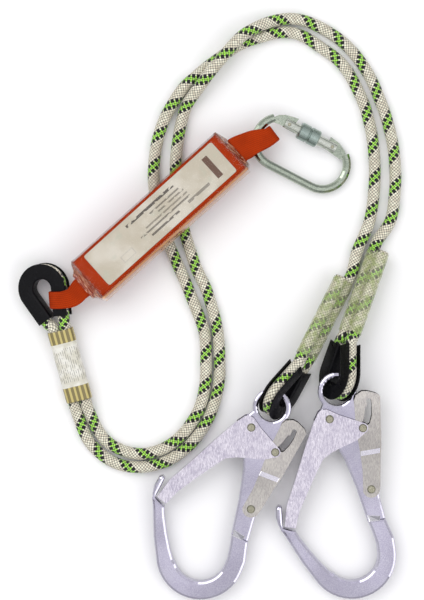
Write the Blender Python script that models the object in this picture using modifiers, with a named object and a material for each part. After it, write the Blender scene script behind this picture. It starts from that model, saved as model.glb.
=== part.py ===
"""Twin-leg shock absorbing lanyard, laid out flat on a floor.

A kernmantle rope is doubled round a thimble at the energy absorber. Its two legs run to two large
scaffold hooks, each on a thimble of its own. A screw-gate carabiner hangs in the absorber's other
webbing loop. Metres, +Z up, and the floor is z = 0. Outlines and routes are written in millimetres
and pass through mm().
"""

import math

import bmesh
import bpy
from mathutils import Matrix, Vector

# ---------------------------------------------------------------- driving dimensions
GAP = 0.0003               # between two pieces that touch
FLOOR_GAP = 0.0002         # between the lowest pieces and the floor

ROPE_DIAMETER = 0.0118
STRAND_GAP = 0.0003        # between the two strands inside a sleeve
CORD_STEP = 0.027          # between two points of a rope leg's tube

BOW_RADIUS = 0.0183        # rope centreline round a thimble's bow
THIMBLE_LEG = 0.032        # bow centre to the ends of the thimble's legs
THIMBLE_WALL = 0.0028      # under the groove
THIMBLE_FLANGE = 0.0013
THIMBLE_OVERHANG = 0.0062  # how far the flanges reach past the rope's centreline
GROOVE_CLEARANCE = 0.0003

SLEEVE_WALL = 0.0008
MOUTH_STRAIGHT = 0.0025    # of rope outside a sleeve, before it bends to the thimble
LABEL_SLEEVE_LENGTH = 0.0725
SPLICE_SLEEVE_LENGTH = 0.0880

PACK_LENGTH = 0.190        # folded tear webbing
PACK_WIDTH = 0.0472
PACK_THICKNESS = 0.022
FILM_THICKNESS = 0.0008
FILM_CLEARANCE = 0.0006    # round the folded webbing
LABEL_SIDE = 0.0041         # bare pack beside the label
LABEL_END = 0.0105
LABEL_THICKNESS = 0.0005
CARABINER_NECK = 0.0040    # of the film past the pack, at each end
LANYARD_NECK = 0.0085
CARABINER_NECK_WIDTH = 0.035
LANYARD_NECK_WIDTH = 0.029
NECK_CORNER = 0.0030       # webbing narrower than the neck, each side
NECK_STRAIGHT = 0.0015     # of webbing past a neck, before it bends
PLY = 0.0022               # one thickness of webbing
PLY_GAP = 0.0006

LOOP_CLEARANCE = 0.0006    # between a webbing loop and what it goes round
LOOP_ALONG_LEG = 0.0165    # from the absorber thimble's bow centre along its axis

CARABINER_BOW = 0.02475    # wire centreline in both end bows
CARABINER_STRAIGHT = 0.0485
WIRE_RADIUS = 0.00425
TONGUE_HALF = 0.0015       # half the thickness of the flattened frame ends
GATE_TUBE_RADIUS = 0.00525
GATE_TUBE_OFFSET = 0.0198  # from the carabiner's long axis
GATE_OVERLAP = 0.0042      # of the gate tube past each pin
CARABINER_PIN_RADIUS = 0.0015
FORK_CLEARANCE = 0.0004    # each side of a tongue
SCREW_SLEEVE_LENGTH = 0.021
SCREW_SLEEVE_RADIUS = 0.00875
SCREW_SLEEVE_START = -0.01225
PLUNGER_RADIUS = 0.0020

EYE_CLEARANCE = 0.0010      # between a hook's eye and the thimble that stands slanting in it
EYE_SEAT = 0.0027           # a thimble's bow past the middle of the eye
EYE_RING = 0.0055          # width of the metal round a hook's eye
SPINE_HALF = 0.0035        # half the thickness of a hook's spine
BOWL_HALF = 0.0070
BOWL_INNER = 0.0255
BOWL_OUTER = 0.0439
BOWL_CENTRE = -0.1645      # along the hook, from the eye's centre
LEVER_SHEET = 0.0015
GATE_SHEET = 0.0018
SLIDE_GAP = 0.0003         # between spine, lever and gate sheets
RIVET_RADIUS = 0.0026
RIVET_HEAD = 0.0042
RIVET_HEAD_HEIGHT = 0.0009
LOCK_PIN_RADIUS = 0.0021
SLOT_CLEARANCE = 0.0006
GATE_OPENING = 32.0        # degrees
LEVER_SQUEEZE = 3.5        # degrees, while the gate opens fully

# ---------------------------------------------------------------- worked out from them
ROPE_RADIUS = ROPE_DIAMETER / 2
STRAND_OFFSET = ROPE_RADIUS + STRAND_GAP / 2
GROOVE_RADIUS = ROPE_RADIUS + GROOVE_CLEARANCE
THIMBLE_HALF = GROOVE_RADIUS + THIMBLE_FLANGE
THIMBLE_INNER = GROOVE_RADIUS + THIMBLE_WALL
THIMBLE_CHAMFER = THIMBLE_WALL * 0.9
SLANT = math.radians(60.0)  # between a hook and its thimble
EYE_RADIUS = (THIMBLE_HALF + SPINE_HALF) / math.sin(SLANT) + EYE_CLEARANCE
ROPE_HEIGHT = FLOOR_GAP + ROPE_RADIUS
LAYER = ROPE_DIAMETER + STRAND_GAP
SLEEVE_INNER = ROPE_RADIUS + GAP
SLEEVE_OUTER = SLEEVE_INNER + SLEEVE_WALL
LEVER_FROM = SPINE_HALF + SLIDE_GAP
LEVER_TO = LEVER_FROM + LEVER_SHEET
GATE_FROM = LEVER_TO + SLIDE_GAP
GATE_TO = GATE_FROM + GATE_SHEET
THIMBLE_LOOP_RADIUS = LOOP_CLEARANCE + max(
    math.hypot(THIMBLE_OVERHANG, THIMBLE_HALF), math.hypot(THIMBLE_INNER, THIMBLE_HALF - THIMBLE_CHAMFER)
)
CARABINER_LOOP_RADIUS = WIRE_RADIUS + LOOP_CLEARANCE * 3
FILM_WIDTH = PACK_WIDTH + 2 * (FILM_CLEARANCE + FILM_THICKNESS)
FILM_HEIGHT = PACK_THICKNESS + 2 * (LABEL_THICKNESS + 2 * GAP + FILM_THICKNESS)
NECK_HALF = PLY + PLY_GAP / 2 + 2 * (GAP + FILM_THICKNESS)


def mm(points):
    """Millimetres to metres, for outlines and routes."""
    return [tuple(value * 0.001 for value in point) for point in points]


def arc(centre, radius, start, end, steps):
    """Points along an arc, in degrees from +X."""
    angles = [math.radians(start + (end - start) * i / steps) for i in range(steps + 1)]
    return [(centre[0] + radius * math.cos(a), centre[1] + radius * math.sin(a)) for a in angles]


def frame(x, y, z, heading=90.0, pitch=0.0, roll=0.0):
    """A frame whose +Y points along the heading and sinks by the pitch, rolled about that +Y."""
    turn = Matrix.Rotation(math.radians(heading - 90), 4, "Z")
    sink = Matrix.Rotation(math.radians(-pitch), 4, "X")
    lean = Matrix.Rotation(math.radians(roll), 4, "Y")
    return Matrix.Translation((x, y, z)) @ turn @ sink @ lean


# ---------------------------------------------------------------- scene and materials
for old in list(bpy.data.objects):
    bpy.data.objects.remove(old)

PARTS = bpy.data.collections.new("shock_absorbing_lanyard")
CUTTERS = bpy.data.collections.new("cutters")
FRAMES = bpy.data.collections.new("frames")
for collection in (PARTS, CUTTERS, FRAMES):
    bpy.context.scene.collection.children.link(collection)


def material(name, colour, roughness, metallic=0.0):
    made = bpy.data.materials.new(name)
    made.use_nodes = True
    shader = made.node_tree.nodes["Principled BSDF"]
    shader.inputs["Base Color"].default_value = (*colour, 1.0)
    shader.inputs["Roughness"].default_value = roughness
    shader.inputs["Metallic"].default_value = metallic
    return made


ROPE = material("rope_braid", (0.80, 0.77, 0.66), 0.85)
BLACK = material("thimble_nylon", (0.012, 0.012, 0.016), 0.45)
SHRINK = material("clear_shrink", (0.70, 0.74, 0.60), 0.30)
LABEL = material("printed_label", (0.78, 0.78, 0.74), 0.45)
WEBBING = material("orange_webbing", (0.58, 0.075, 0.012), 0.60)
FILM = material("cover_film", (0.60, 0.16, 0.06), 0.20)
FORGED = material("zinc_forging", (0.62, 0.62, 0.66), 0.24, 1.0)
SHEET = material("zinc_sheet", (0.70, 0.68, 0.68), 0.28, 1.0)
WIRE = material("carabiner_steel", (0.56, 0.60, 0.54), 0.26, 1.0)
SLEEVE_STEEL = material("screw_sleeve_steel", (0.42, 0.53, 0.53), 0.30, 1.0)
SPRING = material("spring_steel", (0.50, 0.50, 0.50), 0.35, 1.0)


def empty(name, matrix, parent=None):
    """A frame that pieces are placed in; the joints stand on these."""
    made = bpy.data.objects.new(name, None)
    made.empty_display_size = 0.01
    FRAMES.objects.link(made)
    made.parent = parent
    made.matrix_basis = matrix
    return made


def add(name, data, look, parent, at=Matrix.Identity(4), cutter=False):
    made = bpy.data.objects.new(name, data)
    (CUTTERS if cutter else PARTS).objects.link(made)
    made.parent = parent
    made.matrix_basis = at
    if look:
        data.materials.append(look)
    if cutter:
        made.hide_render = True
        made.display_type = "WIRE"
    return made


# ---------------------------------------------------------------- modelling helpers
def welded(curve, name):
    """The mesh of a curve, with its loose caps joined on."""
    holder = bpy.data.objects.new(name, curve)
    CUTTERS.objects.link(holder)
    evaluated = holder.evaluated_get(bpy.context.evaluated_depsgraph_get())
    mesh = bpy.data.meshes.new_from_object(evaluated)
    bpy.data.objects.remove(holder)
    bpy.data.curves.remove(curve)
    soup = bmesh.new()
    soup.from_mesh(mesh)
    bmesh.ops.remove_doubles(soup, verts=soup.verts, dist=1e-6)
    bmesh.ops.recalc_face_normals(soup, faces=soup.faces)
    soup.to_mesh(mesh)
    soup.free()
    mesh.name = name
    return mesh


def plate_mesh(name, loops, low, high, rounding=0.0, steps=1):
    """A flat outline, with holes, from z low to z high, its edges rounded."""
    curve = bpy.data.curves.new(name, "CURVE")
    curve.dimensions = "2D"
    curve.fill_mode = "BOTH"
    curve.extrude = (high - low) / 2 - rounding
    curve.bevel_depth = rounding
    curve.bevel_resolution = steps
    curve.offset = -rounding
    curve.render_resolution_u = 0
    for loop in loops:
        spline = curve.splines.new("POLY")
        spline.points.add(len(loop) - 1)
        for point, place in zip(spline.points, loop):
            point.co = (place[0], place[1], 0.0, 1.0)
        spline.use_cyclic_u = True
    mesh = welded(curve, name)
    mesh.transform(Matrix.Translation((0, 0, (low + high) / 2)))
    return mesh


def tube_curve(name, points, radius, resolution, closed=False):
    """A round tube with filled caps along the points."""
    curve = bpy.data.curves.new(name, "CURVE")
    curve.dimensions = "3D"
    curve.bevel_depth = radius
    curve.bevel_resolution = resolution
    curve.use_fill_caps = not closed
    curve.render_resolution_u = 0
    spline = curve.splines.new("POLY")
    spline.points.add(len(points) - 1)
    for point, place in zip(spline.points, points):
        point.co = (*place, 1.0)
    spline.use_cyclic_u = closed
    return curve


def cylinder_mesh(name, radius, low, high, sides=20):
    """An upright cylinder from z low to z high."""
    soup = bmesh.new()
    middle = Matrix.Translation((0, 0, (low + high) / 2))
    bmesh.ops.create_cone(
        soup, cap_ends=True, segments=sides, radius1=radius, radius2=radius, depth=high - low, matrix=middle
    )
    mesh = bpy.data.meshes.new(name)
    soup.to_mesh(mesh)
    soup.free()
    return mesh


def turned(name, profile, look, parent, at=Matrix.Identity(4), steps=20, ring=False):
    """A profile of (radius, height), top to bottom, turned about +Z."""
    mesh = bpy.data.meshes.new(name)
    edges = [(i, i + 1) for i in range(len(profile) - 1)]
    if ring:
        edges.append((len(profile) - 1, 0))
    mesh.from_pydata([(r, 0.0, z) for r, z in profile], edges, [])
    made = add(name, mesh, look, parent, at)
    screw = made.modifiers.new("turn", "SCREW")
    screw.steps = steps
    screw.render_steps = steps
    screw.use_merge_vertices = True
    screw.merge_threshold = 0.00001
    return made


def loft_mesh(name, sections, capped=True):
    """A skin through like sections, in order, with flat ends if capped."""
    soup = bmesh.new()
    rings = [[soup.verts.new(point) for point in section] for section in sections]
    count = len(sections[0])
    for near, far in zip(rings, rings[1:]):
        for i in range(count):
            soup.faces.new((near[i], near[(i + 1) % count], far[(i + 1) % count], far[i]))
    if capped:
        soup.faces.new(reversed(rings[0]))
        soup.faces.new(rings[-1])
    bmesh.ops.recalc_face_normals(soup, faces=soup.faces)
    mesh = bpy.data.meshes.new(name)
    soup.to_mesh(mesh)
    soup.free()
    return mesh


def boolean(target, other, operation):
    modifier = target.modifiers.new(operation.lower(), "BOOLEAN")
    modifier.operation = operation
    modifier.solver = "EXACT"
    modifier.object = other


def cut(target, name, mesh, at=Matrix.Identity(4)):
    boolean(target, add(name, mesh, None, target.parent, at, cutter=True), "DIFFERENCE")


def joined(target, name, mesh, at=Matrix.Identity(4)):
    boolean(target, add(name, mesh, None, target.parent, at, cutter=True), "UNION")


def smooth_route(points, step):
    """An even walk, about one point a step, along a smooth curve through the points."""
    places = [Vector(point) for point in points]
    ends = [2 * places[0] - places[1], *places, 2 * places[-1] - places[-2]]
    fine = []
    for a, b, c, d in zip(ends, ends[1:], ends[2:], ends[3:]):
        t1 = (b - a).length ** 0.5
        t2 = t1 + (c - b).length ** 0.5
        t3 = t2 + (d - c).length ** 0.5
        for i in range(24):
            t = t1 + (t2 - t1) * i / 24
            ab = a * ((t1 - t) / t1) + b * (t / t1)
            bc = b * ((t2 - t) / (t2 - t1)) + c * ((t - t1) / (t2 - t1))
            cd = c * ((t3 - t) / (t3 - t2)) + d * ((t - t2) / (t3 - t2))
            abc = ab * ((t2 - t) / t2) + bc * (t / t2)
            bcd = bc * ((t3 - t) / (t3 - t1)) + cd * ((t - t1) / (t3 - t1))
            fine.append(abc * ((t2 - t) / (t2 - t1)) + bcd * ((t - t1) / (t2 - t1)))
    fine.append(places[-1])
    along = [0.0]
    for a, b in zip(fine, fine[1:]):
        along.append(along[-1] + (b - a).length)
    count = max(2, round(along[-1] / step))
    walk = []
    here = 0
    for i in range(count + 1):
        want = along[-1] * i / count
        while here < len(fine) - 2 and along[here + 1] < want:
            here += 1
        share = (want - along[here]) / max(along[here + 1] - along[here], 1e-9)
        walk.append(fine[here].lerp(fine[here + 1], min(share, 1.0)))
    return walk


def between(start, leaving, end, arriving, steps):
    """Points of a smooth bend between two places, without the places themselves."""
    reach = (end - start).length
    points = []
    for i in range(1, steps):
        t = i / steps
        points.append(
            start * (2 * t**3 - 3 * t**2 + 1)
            + leaving * reach * (t**3 - 2 * t**2 + t)
            + end * (3 * t**2 - 2 * t**3)
            + arriving * reach * (t**3 - t**2)
        )
    return points


# ---------------------------------------------------------------- rope eyes, thimbles and sleeves
def leg_angle():
    """Where a thimble's straight legs leave its bow, in degrees above the bow's width."""
    reach = math.hypot(STRAND_OFFSET, THIMBLE_LEG + 0.012)
    bearing = math.atan2(THIMBLE_LEG + 0.012, STRAND_OFFSET)
    return math.degrees(bearing - math.acos(BOW_RADIUS / reach))


def teardrop():
    """The rope's centreline in a thimble, from the +X leg's end round the bow to the -X leg's end."""
    angle = leg_angle()
    bow = arc((0.0, 0.0), BOW_RADIUS, angle, -180 - angle, 16)
    rise = math.radians(angle)
    run = (THIMBLE_LEG - BOW_RADIUS * math.sin(rise)) / math.cos(rise)
    end = (bow[0][0] - run * math.sin(rise), THIMBLE_LEG)
    points = [end, *bow, (-end[0], end[1])]
    return [Vector((x, y, 0.0)) for x, y in points]


def thimble(name, parent):
    """A gutter with the rope's groove facing outward all round the teardrop."""
    chamfer = THIMBLE_CHAMFER
    inner = -THIMBLE_INNER
    section = [(THIMBLE_OVERHANG, THIMBLE_HALF), (inner + chamfer, THIMBLE_HALF), (inner, THIMBLE_HALF - chamfer)]
    section += [(x, -z) for x, z in reversed(section)]
    section += [(THIMBLE_OVERHANG, -GROOVE_RADIUS)]
    section += arc((0.0, 0.0), GROOVE_RADIUS, -90, -270, 8)
    section += [(THIMBLE_OVERHANG, GROOVE_RADIUS)]
    path = teardrop()
    sections = []
    for i, place in enumerate(path):
        before = path[max(i - 1, 0)]
        after = path[min(i + 1, len(path) - 1)]
        run = (after - before).normalized()
        out = Vector((-run.y, run.x, 0.0))
        sections.append([place + out * u + Vector((0, 0, v)) for u, v in section])
    return add(name, loft_mesh(name, sections), BLACK, parent)


def sleeve(name, length, parent, look):
    """A flattened tube round two strands, from its thimble-side mouth along +Y."""

    def stadium(radius):
        right = arc((STRAND_OFFSET, 0.0), radius, -90, 90, 8)
        left = arc((-STRAND_OFFSET, 0.0), radius, 90, 270, 8)
        return right + left

    mesh = plate_mesh(name, [stadium(SLEEVE_OUTER), stadium(SLEEVE_INNER)], -length, 0.0)
    return add(name, mesh, look, parent, Matrix.Rotation(math.pi / 2, 4, "X"))


def rope_eye(name, bow_frame, mouth_frame, length, parent):
    """The doubled rope: in at the sleeve's far mouth, round the thimble and back."""
    path = [bow_frame @ point for point in teardrop()]
    sides = []
    for side, near, inside in ((1, path[0], path[1]), (-1, path[-1], path[-2])):
        near = near + (near - inside).normalized() * MOUTH_STRAIGHT
        x = side * STRAND_OFFSET
        far = mouth_frame @ Vector((x, length, 0.0))
        mouth = mouth_frame @ Vector((x, -MOUTH_STRAIGHT, 0.0))
        bend = between(mouth, (mouth - far).normalized(), near, (inside - near).normalized(), 4)
        sides.append([far, mouth, *bend, near])
    points = sides[0] + path + list(reversed(sides[1]))
    points = [parent.matrix_basis.inverted() @ point for point in points]
    return add(name, tube_curve(name, points, ROPE_RADIUS, 3), ROPE, parent)


# ---------------------------------------------------------------- the rope and its legs
def bow_height(roll):
    """The height of a thimble's bow centre when its lowest edge is on the floor."""
    lean = math.radians(abs(roll))
    return FLOOR_GAP + (BOW_RADIUS + THIMBLE_OVERHANG) * math.sin(lean) + THIMBLE_HALF * math.cos(lean)


def mouth_height(roll):
    """The height of a sleeve's axis when it lies on the floor."""
    return FLOOR_GAP + STRAND_OFFSET * math.sin(math.radians(abs(roll))) + SLEEVE_OUTER


def eye_frames(bow, bow_heading, bow_roll, mouth, mouth_heading, mouth_roll, length):
    """The thimble's frame at its bow centre, and the sleeve's at its mouth, sloping to the floor."""
    top = bow_height(bow_roll)
    pitch = math.degrees(math.asin((top - mouth_height(mouth_roll)) / length))
    return (
        frame(*bow, top, bow_heading, 0.0, bow_roll),
        frame(*mouth, top, mouth_heading, pitch, mouth_roll),
    )


ABSORBER_EYE = eye_frames(
    (-0.1620, 0.0668), -70.0, 18.0, (-0.1460, 0.0250), -74.8, 12.0, LABEL_SLEEVE_LENGTH
)
RIGHT_EYE = eye_frames(
    (0.1313, -0.0200), 80.0, -58.0, (0.1409, 0.0216), 70.1, -45.0, SPLICE_SLEEVE_LENGTH
)
LEFT_EYE = eye_frames(
    (0.0733, -0.0386), 55.0, 64.0, (0.0972, -0.0026), 63.0, 48.0, SPLICE_SLEEVE_LENGTH
)

# Each leg: x and y in millimetres, and how many rope layers it is raised.
LEFT_ROUTE = [
    (-108, -76, 0), (-99.5, -86.5, 0), (-84, -95, 0), (-71, -98.3, 0), (-59.7, -98, 0),
    (-42, -92.4, 0), (-27, -81.5, 0), (-15.2, -67.2, 0), (-8.2, -54.3, 0), (-3.6, -40.2, 0),
    (-1.4, -25, 0), (-0.8, -7, 0), (-1.2, 8.4, 0), (-3, 25, 0), (-9.3, 42.3, 0),
    (-18, 64.3, 0), (-27.4, 86.3, 0), (-37, 108.3, 0), (-46, 136, 0), (-52.6, 167, 0),
    (-52.3, 196.3, 0), (-46, 226, 0), (-36, 247.7, 0), (-23, 267, 0), (-10, 279, 0),
    (5, 291, 0), (23, 304, 0), (39, 312.6, 0), (56, 318, 0), (70, 321.5, 0),
    (83.2, 321.8, 0), (97, 317.5, 0), (114, 306.5, 0), (134, 291, 0), (151.6, 262, 0),
    (162, 231.7, 0), (166.8, 198.6, 0), (166.8, 166.4, 0), (162.2, 134, 0), (155.6, 117, 0),
    (149.8, 103, 0),
]
RIGHT_ROUTE = [
    (-118.5, -84.5, 0), (-107, -97.5, 0), (-89, -108.5, 0), (-71.5, -111.6, 0), (-57.5, -110.8, 0),
    (-36.8, -104.2, 0), (-18.8, -91, 0), (-5.2, -74.8, 0), (4.5, -56, 0), (10, -38, 0),
    (12.5, -20, 0), (12.2, 5, 0), (10.4, 25, 0), (6.4, 42.3, 0), (-0.2, 64.3, 0),
    (-10.5, 86.3, 0), (-18, 108.3, 0), (-25, 133, 0), (-29.5, 155, 0), (-31.4, 188, 0),
    (-29.3, 210.8, 0), (-25.6, 231.8, 0), (-19.5, 250, 0.17), (-7.5, 267, 0.62), (3, 281, 0.94),
    (13, 293, 1.04), (23, 305, 1.05), (36, 318, 0.97), (50, 326.5, 0.70), (65, 332.5, 0.32),
    (82.4, 335.5, 0.06), (100, 332.5, 0), (120, 323, 0), (140.1, 307.9, 0), (158.7, 284.3, 0),
    (172.6, 254.5, 0), (182.3, 224.3, 0), (187.3, 193.6, 0), (187.4, 162.1, 0), (182.5, 133, 0),
]


def rope_leg(name, route, start, start_side, start_length, end, end_side, parent):
    """A free leg from one sleeve's far mouth to another's, through the chosen points."""

    def mouth(at, side, length):
        outward = (at.to_3x3() @ Vector((0, 1, 0))).normalized()
        place = at @ Vector((side * STRAND_OFFSET, length, 0.0)) + outward * GAP * 2
        beyond = place + outward * ROPE_DIAMETER * 0.8
        beyond.z = max(beyond.z, ROPE_HEIGHT)
        return place, beyond

    first, second = mouth(start, start_side, start_length)
    last, before = mouth(end, end_side, SPLICE_SLEEVE_LENGTH)
    middle = [Vector((x * 0.001, y * 0.001, ROPE_HEIGHT + up * LAYER)) for x, y, up in route]
    walk = smooth_route([second, *middle, before], CORD_STEP)
    for place in walk[1:-1]:
        place.z = max(place.z, ROPE_HEIGHT)
    points = [first, *walk, last]
    return add(name, tube_curve(name, points, ROPE_RADIUS, 2), ROPE, parent)


def build_rope():
    base = empty("frame_rope", Matrix.Identity(4))
    eyes = (
        ("absorber", ABSORBER_EYE, "label_sleeve", LABEL_SLEEVE_LENGTH, LABEL),
        ("left", LEFT_EYE, "splice_sleeve_left", SPLICE_SLEEVE_LENGTH, SHRINK),
        ("right", RIGHT_EYE, "splice_sleeve_right", SPLICE_SLEEVE_LENGTH, SHRINK),
    )
    for which, (bow, mouth), sleeve_name, length, look in eyes:
        thimble(f"thimble_{which}", empty(f"frame_thimble_{which}", bow, base))
        sleeve(sleeve_name, length, empty(f"frame_{sleeve_name}", mouth, base), look)
        rope_eye(f"rope_eye_{which}", bow, mouth, length, base)
    label_mouth = ABSORBER_EYE[1]
    length = LABEL_SLEEVE_LENGTH
    rope_leg("rope_leg_left", LEFT_ROUTE, label_mouth, -1, length, LEFT_EYE[1], 1, base)
    rope_leg("rope_leg_right", RIGHT_ROUTE, label_mouth, 1, length, RIGHT_EYE[1], -1, base)


# ---------------------------------------------------------------- energy absorber
PACK_ROLL = -9.0
PACK_HEADING = 42.0
PACK_SHIFT = -0.002        # of the pack's middle across its axis
PACK_START = Vector((-0.1148, 0.0722, 0.0))        # the middle of its lanyard end, from above
PACK_RUN = Vector((math.cos(math.radians(PACK_HEADING)), math.sin(math.radians(PACK_HEADING)), 0.0))
PACK_END = PACK_START + PACK_RUN * PACK_LENGTH
PACK_HEIGHT = (
    ROPE_HEIGHT + ROPE_RADIUS + GAP
    + (FILM_WIDTH / 2 - PACK_SHIFT) * math.sin(math.radians(-PACK_ROLL))
    + FILM_HEIGHT / 2 * math.cos(math.radians(PACK_ROLL))
)
PACK_FRAME = frame(*PACK_START.lerp(PACK_END, 0.5).xy, PACK_HEIGHT, PACK_HEADING, 0.0, PACK_ROLL)


# The carabiner lies on its outer bow, and its webbing end is held up.
CARABINER_HEADING = 63.0
CARABINER_TILT = math.radians(8.0)
CARABINER_BEYOND = Vector((0.0459, 0.0125, 0.0))   # from the pack's end to the webbing bow's centre
WEBBING_BOW_HEIGHT = (
    0.0008 + WIRE_RADIUS + (CARABINER_STRAIGHT + CARABINER_BOW) * math.sin(CARABINER_TILT)
)
CARABINER_FRAME = (
    frame(*(PACK_END + CARABINER_BEYOND).xy, WEBBING_BOW_HEIGHT, CARABINER_HEADING)
    @ Matrix.Rotation(CARABINER_TILT, 4, "Y")
    @ Matrix.Translation((CARABINER_STRAIGHT / 2, 0, 0))
)


def rounded_box(width, height, radius, steps=3):
    """The outline of a rounded rectangle, anticlockwise from the right."""
    corners = ((1, -1, -90), (1, 1, 0), (-1, 1, 90), (-1, -1, 180))
    points = []
    for sx, sz, start in corners:
        centre = (sx * (width / 2 - radius), sz * (height / 2 - radius))
        points += arc(centre, radius, start, start + 90, steps)
    return points


def cover_film(parent):
    """Shrunk film round the pack, open at both necks."""
    end = PACK_LENGTH / 2 + FILM_CLEARANCE
    stations = (
        (-end - LANYARD_NECK, PACK_SHIFT, LANYARD_NECK_WIDTH, NECK_HALF * 2),
        (-end - LANYARD_NECK * 0.3, PACK_SHIFT, FILM_WIDTH - 0.006, FILM_HEIGHT - 0.005),
        (-end, PACK_SHIFT, FILM_WIDTH, FILM_HEIGHT),
        (end, PACK_SHIFT, FILM_WIDTH, FILM_HEIGHT),
        (end + CARABINER_NECK * 0.3, PACK_SHIFT, FILM_WIDTH - 0.005, FILM_HEIGHT - 0.005),
        (end + CARABINER_NECK, 0.0, CARABINER_NECK_WIDTH, NECK_HALF * 2),
    )
    sections = []
    for y, shift, width, height in stations:
        outline = rounded_box(width, height, min(0.005, height * 0.45))
        sections.append([Vector((x + shift, y, z)) for x, z in outline])
    made = add("absorber_cover", loft_mesh("absorber_cover", sections, capped=False), FILM, parent)
    wall = made.modifiers.new("film", "SOLIDIFY")
    wall.thickness = FILM_THICKNESS
    wall.offset = -1
    return made


def strap_mesh(name, stations):
    """A webbing strap; each station is its middle, its run, its width direction and half its width."""
    sections = []
    for place, run, across, half in stations:
        across = (across - run * across.dot(run)).normalized()
        up = across.cross(run).normalized()
        sections.append(
            [
                place + across * half + up * PLY / 2,
                place - across * half + up * PLY / 2,
                place - across * half - up * PLY / 2,
                place + across * half - up * PLY / 2,
            ]
        )
    return loft_mesh(name, sections)


def webbing_loop(name, upper, lower, first_across, fold, fold_run, fold_across, fold_half, fold_radius, parent):
    """One strap out along the upper points, round the fold and back along the lower points.

    upper and lower are (place, half width) from the pack outward; their widths lie across their run.
    """
    level = fold_across.normalized()
    rise = level.cross(fold_run.normalized()).normalized()
    stations = []

    def ply(points, after):
        row = [place for place, _ in points] + [after]
        for i, (place, half) in enumerate(points):
            ahead = (row[i + 1] - row[i]).normalized()
            behind = (row[i] - row[i - 1]).normalized() if i else ahead
            run = (ahead + behind).normalized()
            share = i / max(len(points) - 1, 1)
            across = first_across.lerp(level, share)
            yield place, run, across, half

    radius = fold_radius + PLY / 2
    top = fold + rise * radius
    bottom = fold - rise * radius
    for place, run, across, half in ply(upper, top):
        stations.append((place, run, across, half))
    for i in range(9):
        angle = math.pi * i / 8
        place = fold + rise * radius * math.cos(angle) + fold_run * radius * math.sin(angle)
        run = fold_run * math.cos(angle) - rise * math.sin(angle)
        stations.append((place, run, level, fold_half))
    back = [(place, -run, across, half) for place, run, across, half in ply(lower, bottom)]
    stations += reversed(back)
    return add(name, strap_mesh(name, stations), WEBBING, parent)


def in_pack(point):
    """A world place, seen from the pack's frame."""
    return PACK_FRAME.inverted() @ Vector(point)


def past_pack(x, y, height):
    """A place beyond the pack's carabiner end, seen from the pack's frame."""
    return in_pack((PACK_END.x + x, PACK_END.y + y, height))


def pack_direction(vector):
    return (PACK_FRAME.to_3x3().inverted() @ Vector(vector)).normalized()


def build_absorber():
    base = empty("frame_absorber", PACK_FRAME)
    shift = Matrix.Translation((PACK_SHIFT, 0, 0))
    half = PACK_LENGTH / 2
    outline = rounded_box(PACK_WIDTH, PACK_THICKNESS, 0.003, 2)
    pack = loft_mesh("tear_webbing", [[Vector((x, y, z)) for x, z in outline] for y in (-half, half)])
    add("tear_webbing", pack, WEBBING, base, shift)
    cover_film(base)
    low = PACK_THICKNESS / 2 + GAP
    sheet = rounded_box(PACK_WIDTH - 2 * LABEL_SIDE, PACK_LENGTH - 2 * LABEL_END, 0.004)
    label = plate_mesh("identification_label", [sheet], low, low + LABEL_THICKNESS)
    add("identification_label", label, LABEL, base, Matrix.Translation((-0.0025, 0.0015, 0)))

    lift = (PLY + PLY_GAP) / 2
    start = half + GAP
    wide = CARABINER_NECK_WIDTH / 2 - FILM_THICKNESS - NECK_CORNER
    narrow = LANYARD_NECK_WIDTH / 2 - FILM_THICKNESS - NECK_CORNER

    # The loop that the carabiner hangs in.
    over = WEBBING_BOW_HEIGHT + WIRE_RADIUS + PLY / 2
    under = WEBBING_BOW_HEIGHT - WIRE_RADIUS - PLY / 2
    run = pack_direction((0.800, 0.600, -0.05))
    across = pack_direction((0.600, -0.800, 0.0))
    neck = start + CARABINER_NECK + NECK_STRAIGHT
    upper = [
        (Vector((0, start, lift)), wide),
        (Vector((0, neck, lift)), wide),
        (past_pack(0.0206, 0.0122, over + 0.0066), 0.0118),
    ]
    lower = [
        (Vector((0, start, -lift)), wide),
        (Vector((0, neck, -lift)), wide),
        (past_pack(0.0098, 0.0055, under + 0.0079), 0.0120),
        (past_pack(0.0156, 0.0085, under + 0.0013), 0.0110),
        (past_pack(0.0216, 0.0115, under + 0.0008), 0.0102),
    ]
    fold = past_pack(0.0345, 0.0171, WEBBING_BOW_HEIGHT + 0.0026)
    webbing_loop(
        "carabiner_loop", upper, lower, Vector((1, 0, 0)), fold, run, across, 0.0086, CARABINER_LOOP_RADIUS, base
    )

    # The loop round the thimble's leg.
    bow = ABSORBER_EYE[0]
    place, tangent = thimble_leg()
    middle = bow @ place
    along = (bow.to_3x3() @ tangent).normalized()
    out = (Vector((1, 0.25, 0)) - along * Vector((1, 0.25, 0)).dot(along)).normalized()
    neck = start + LANYARD_NECK + NECK_STRAIGHT
    upper = [
        (Vector((PACK_SHIFT, -start, lift)), narrow),
        (Vector((PACK_SHIFT, -neck, lift)), narrow),
        (in_pack(middle + out * 0.011 + Vector((0, 0.001, 0.0118))), 0.0095),
    ]
    lower = [
        (Vector((PACK_SHIFT, -start, -lift)), narrow),
        (Vector((PACK_SHIFT, -neck, -lift)), narrow),
        (in_pack(middle + out * 0.0095 + Vector((0, 0.001, -0.0108))), 0.0095),
    ]
    fold = in_pack(middle)
    run, level = pack_direction(-out), pack_direction(-along)
    webbing_loop(
        "lanyard_loop", upper, lower, Vector((-1, 0, 0)), fold, run, level, 0.0085, THIMBLE_LOOP_RADIUS, base
    )


def thimble_leg():
    """The middle of the webbing on the absorber thimble's -X leg, and that leg's run, in its frame."""
    path = teardrop()
    end, tangent = path[-1], path[-2]
    share = (LOOP_ALONG_LEG - tangent.y) / (end.y - tangent.y)
    return tangent.lerp(end, share), (end - tangent).normalized()


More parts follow.
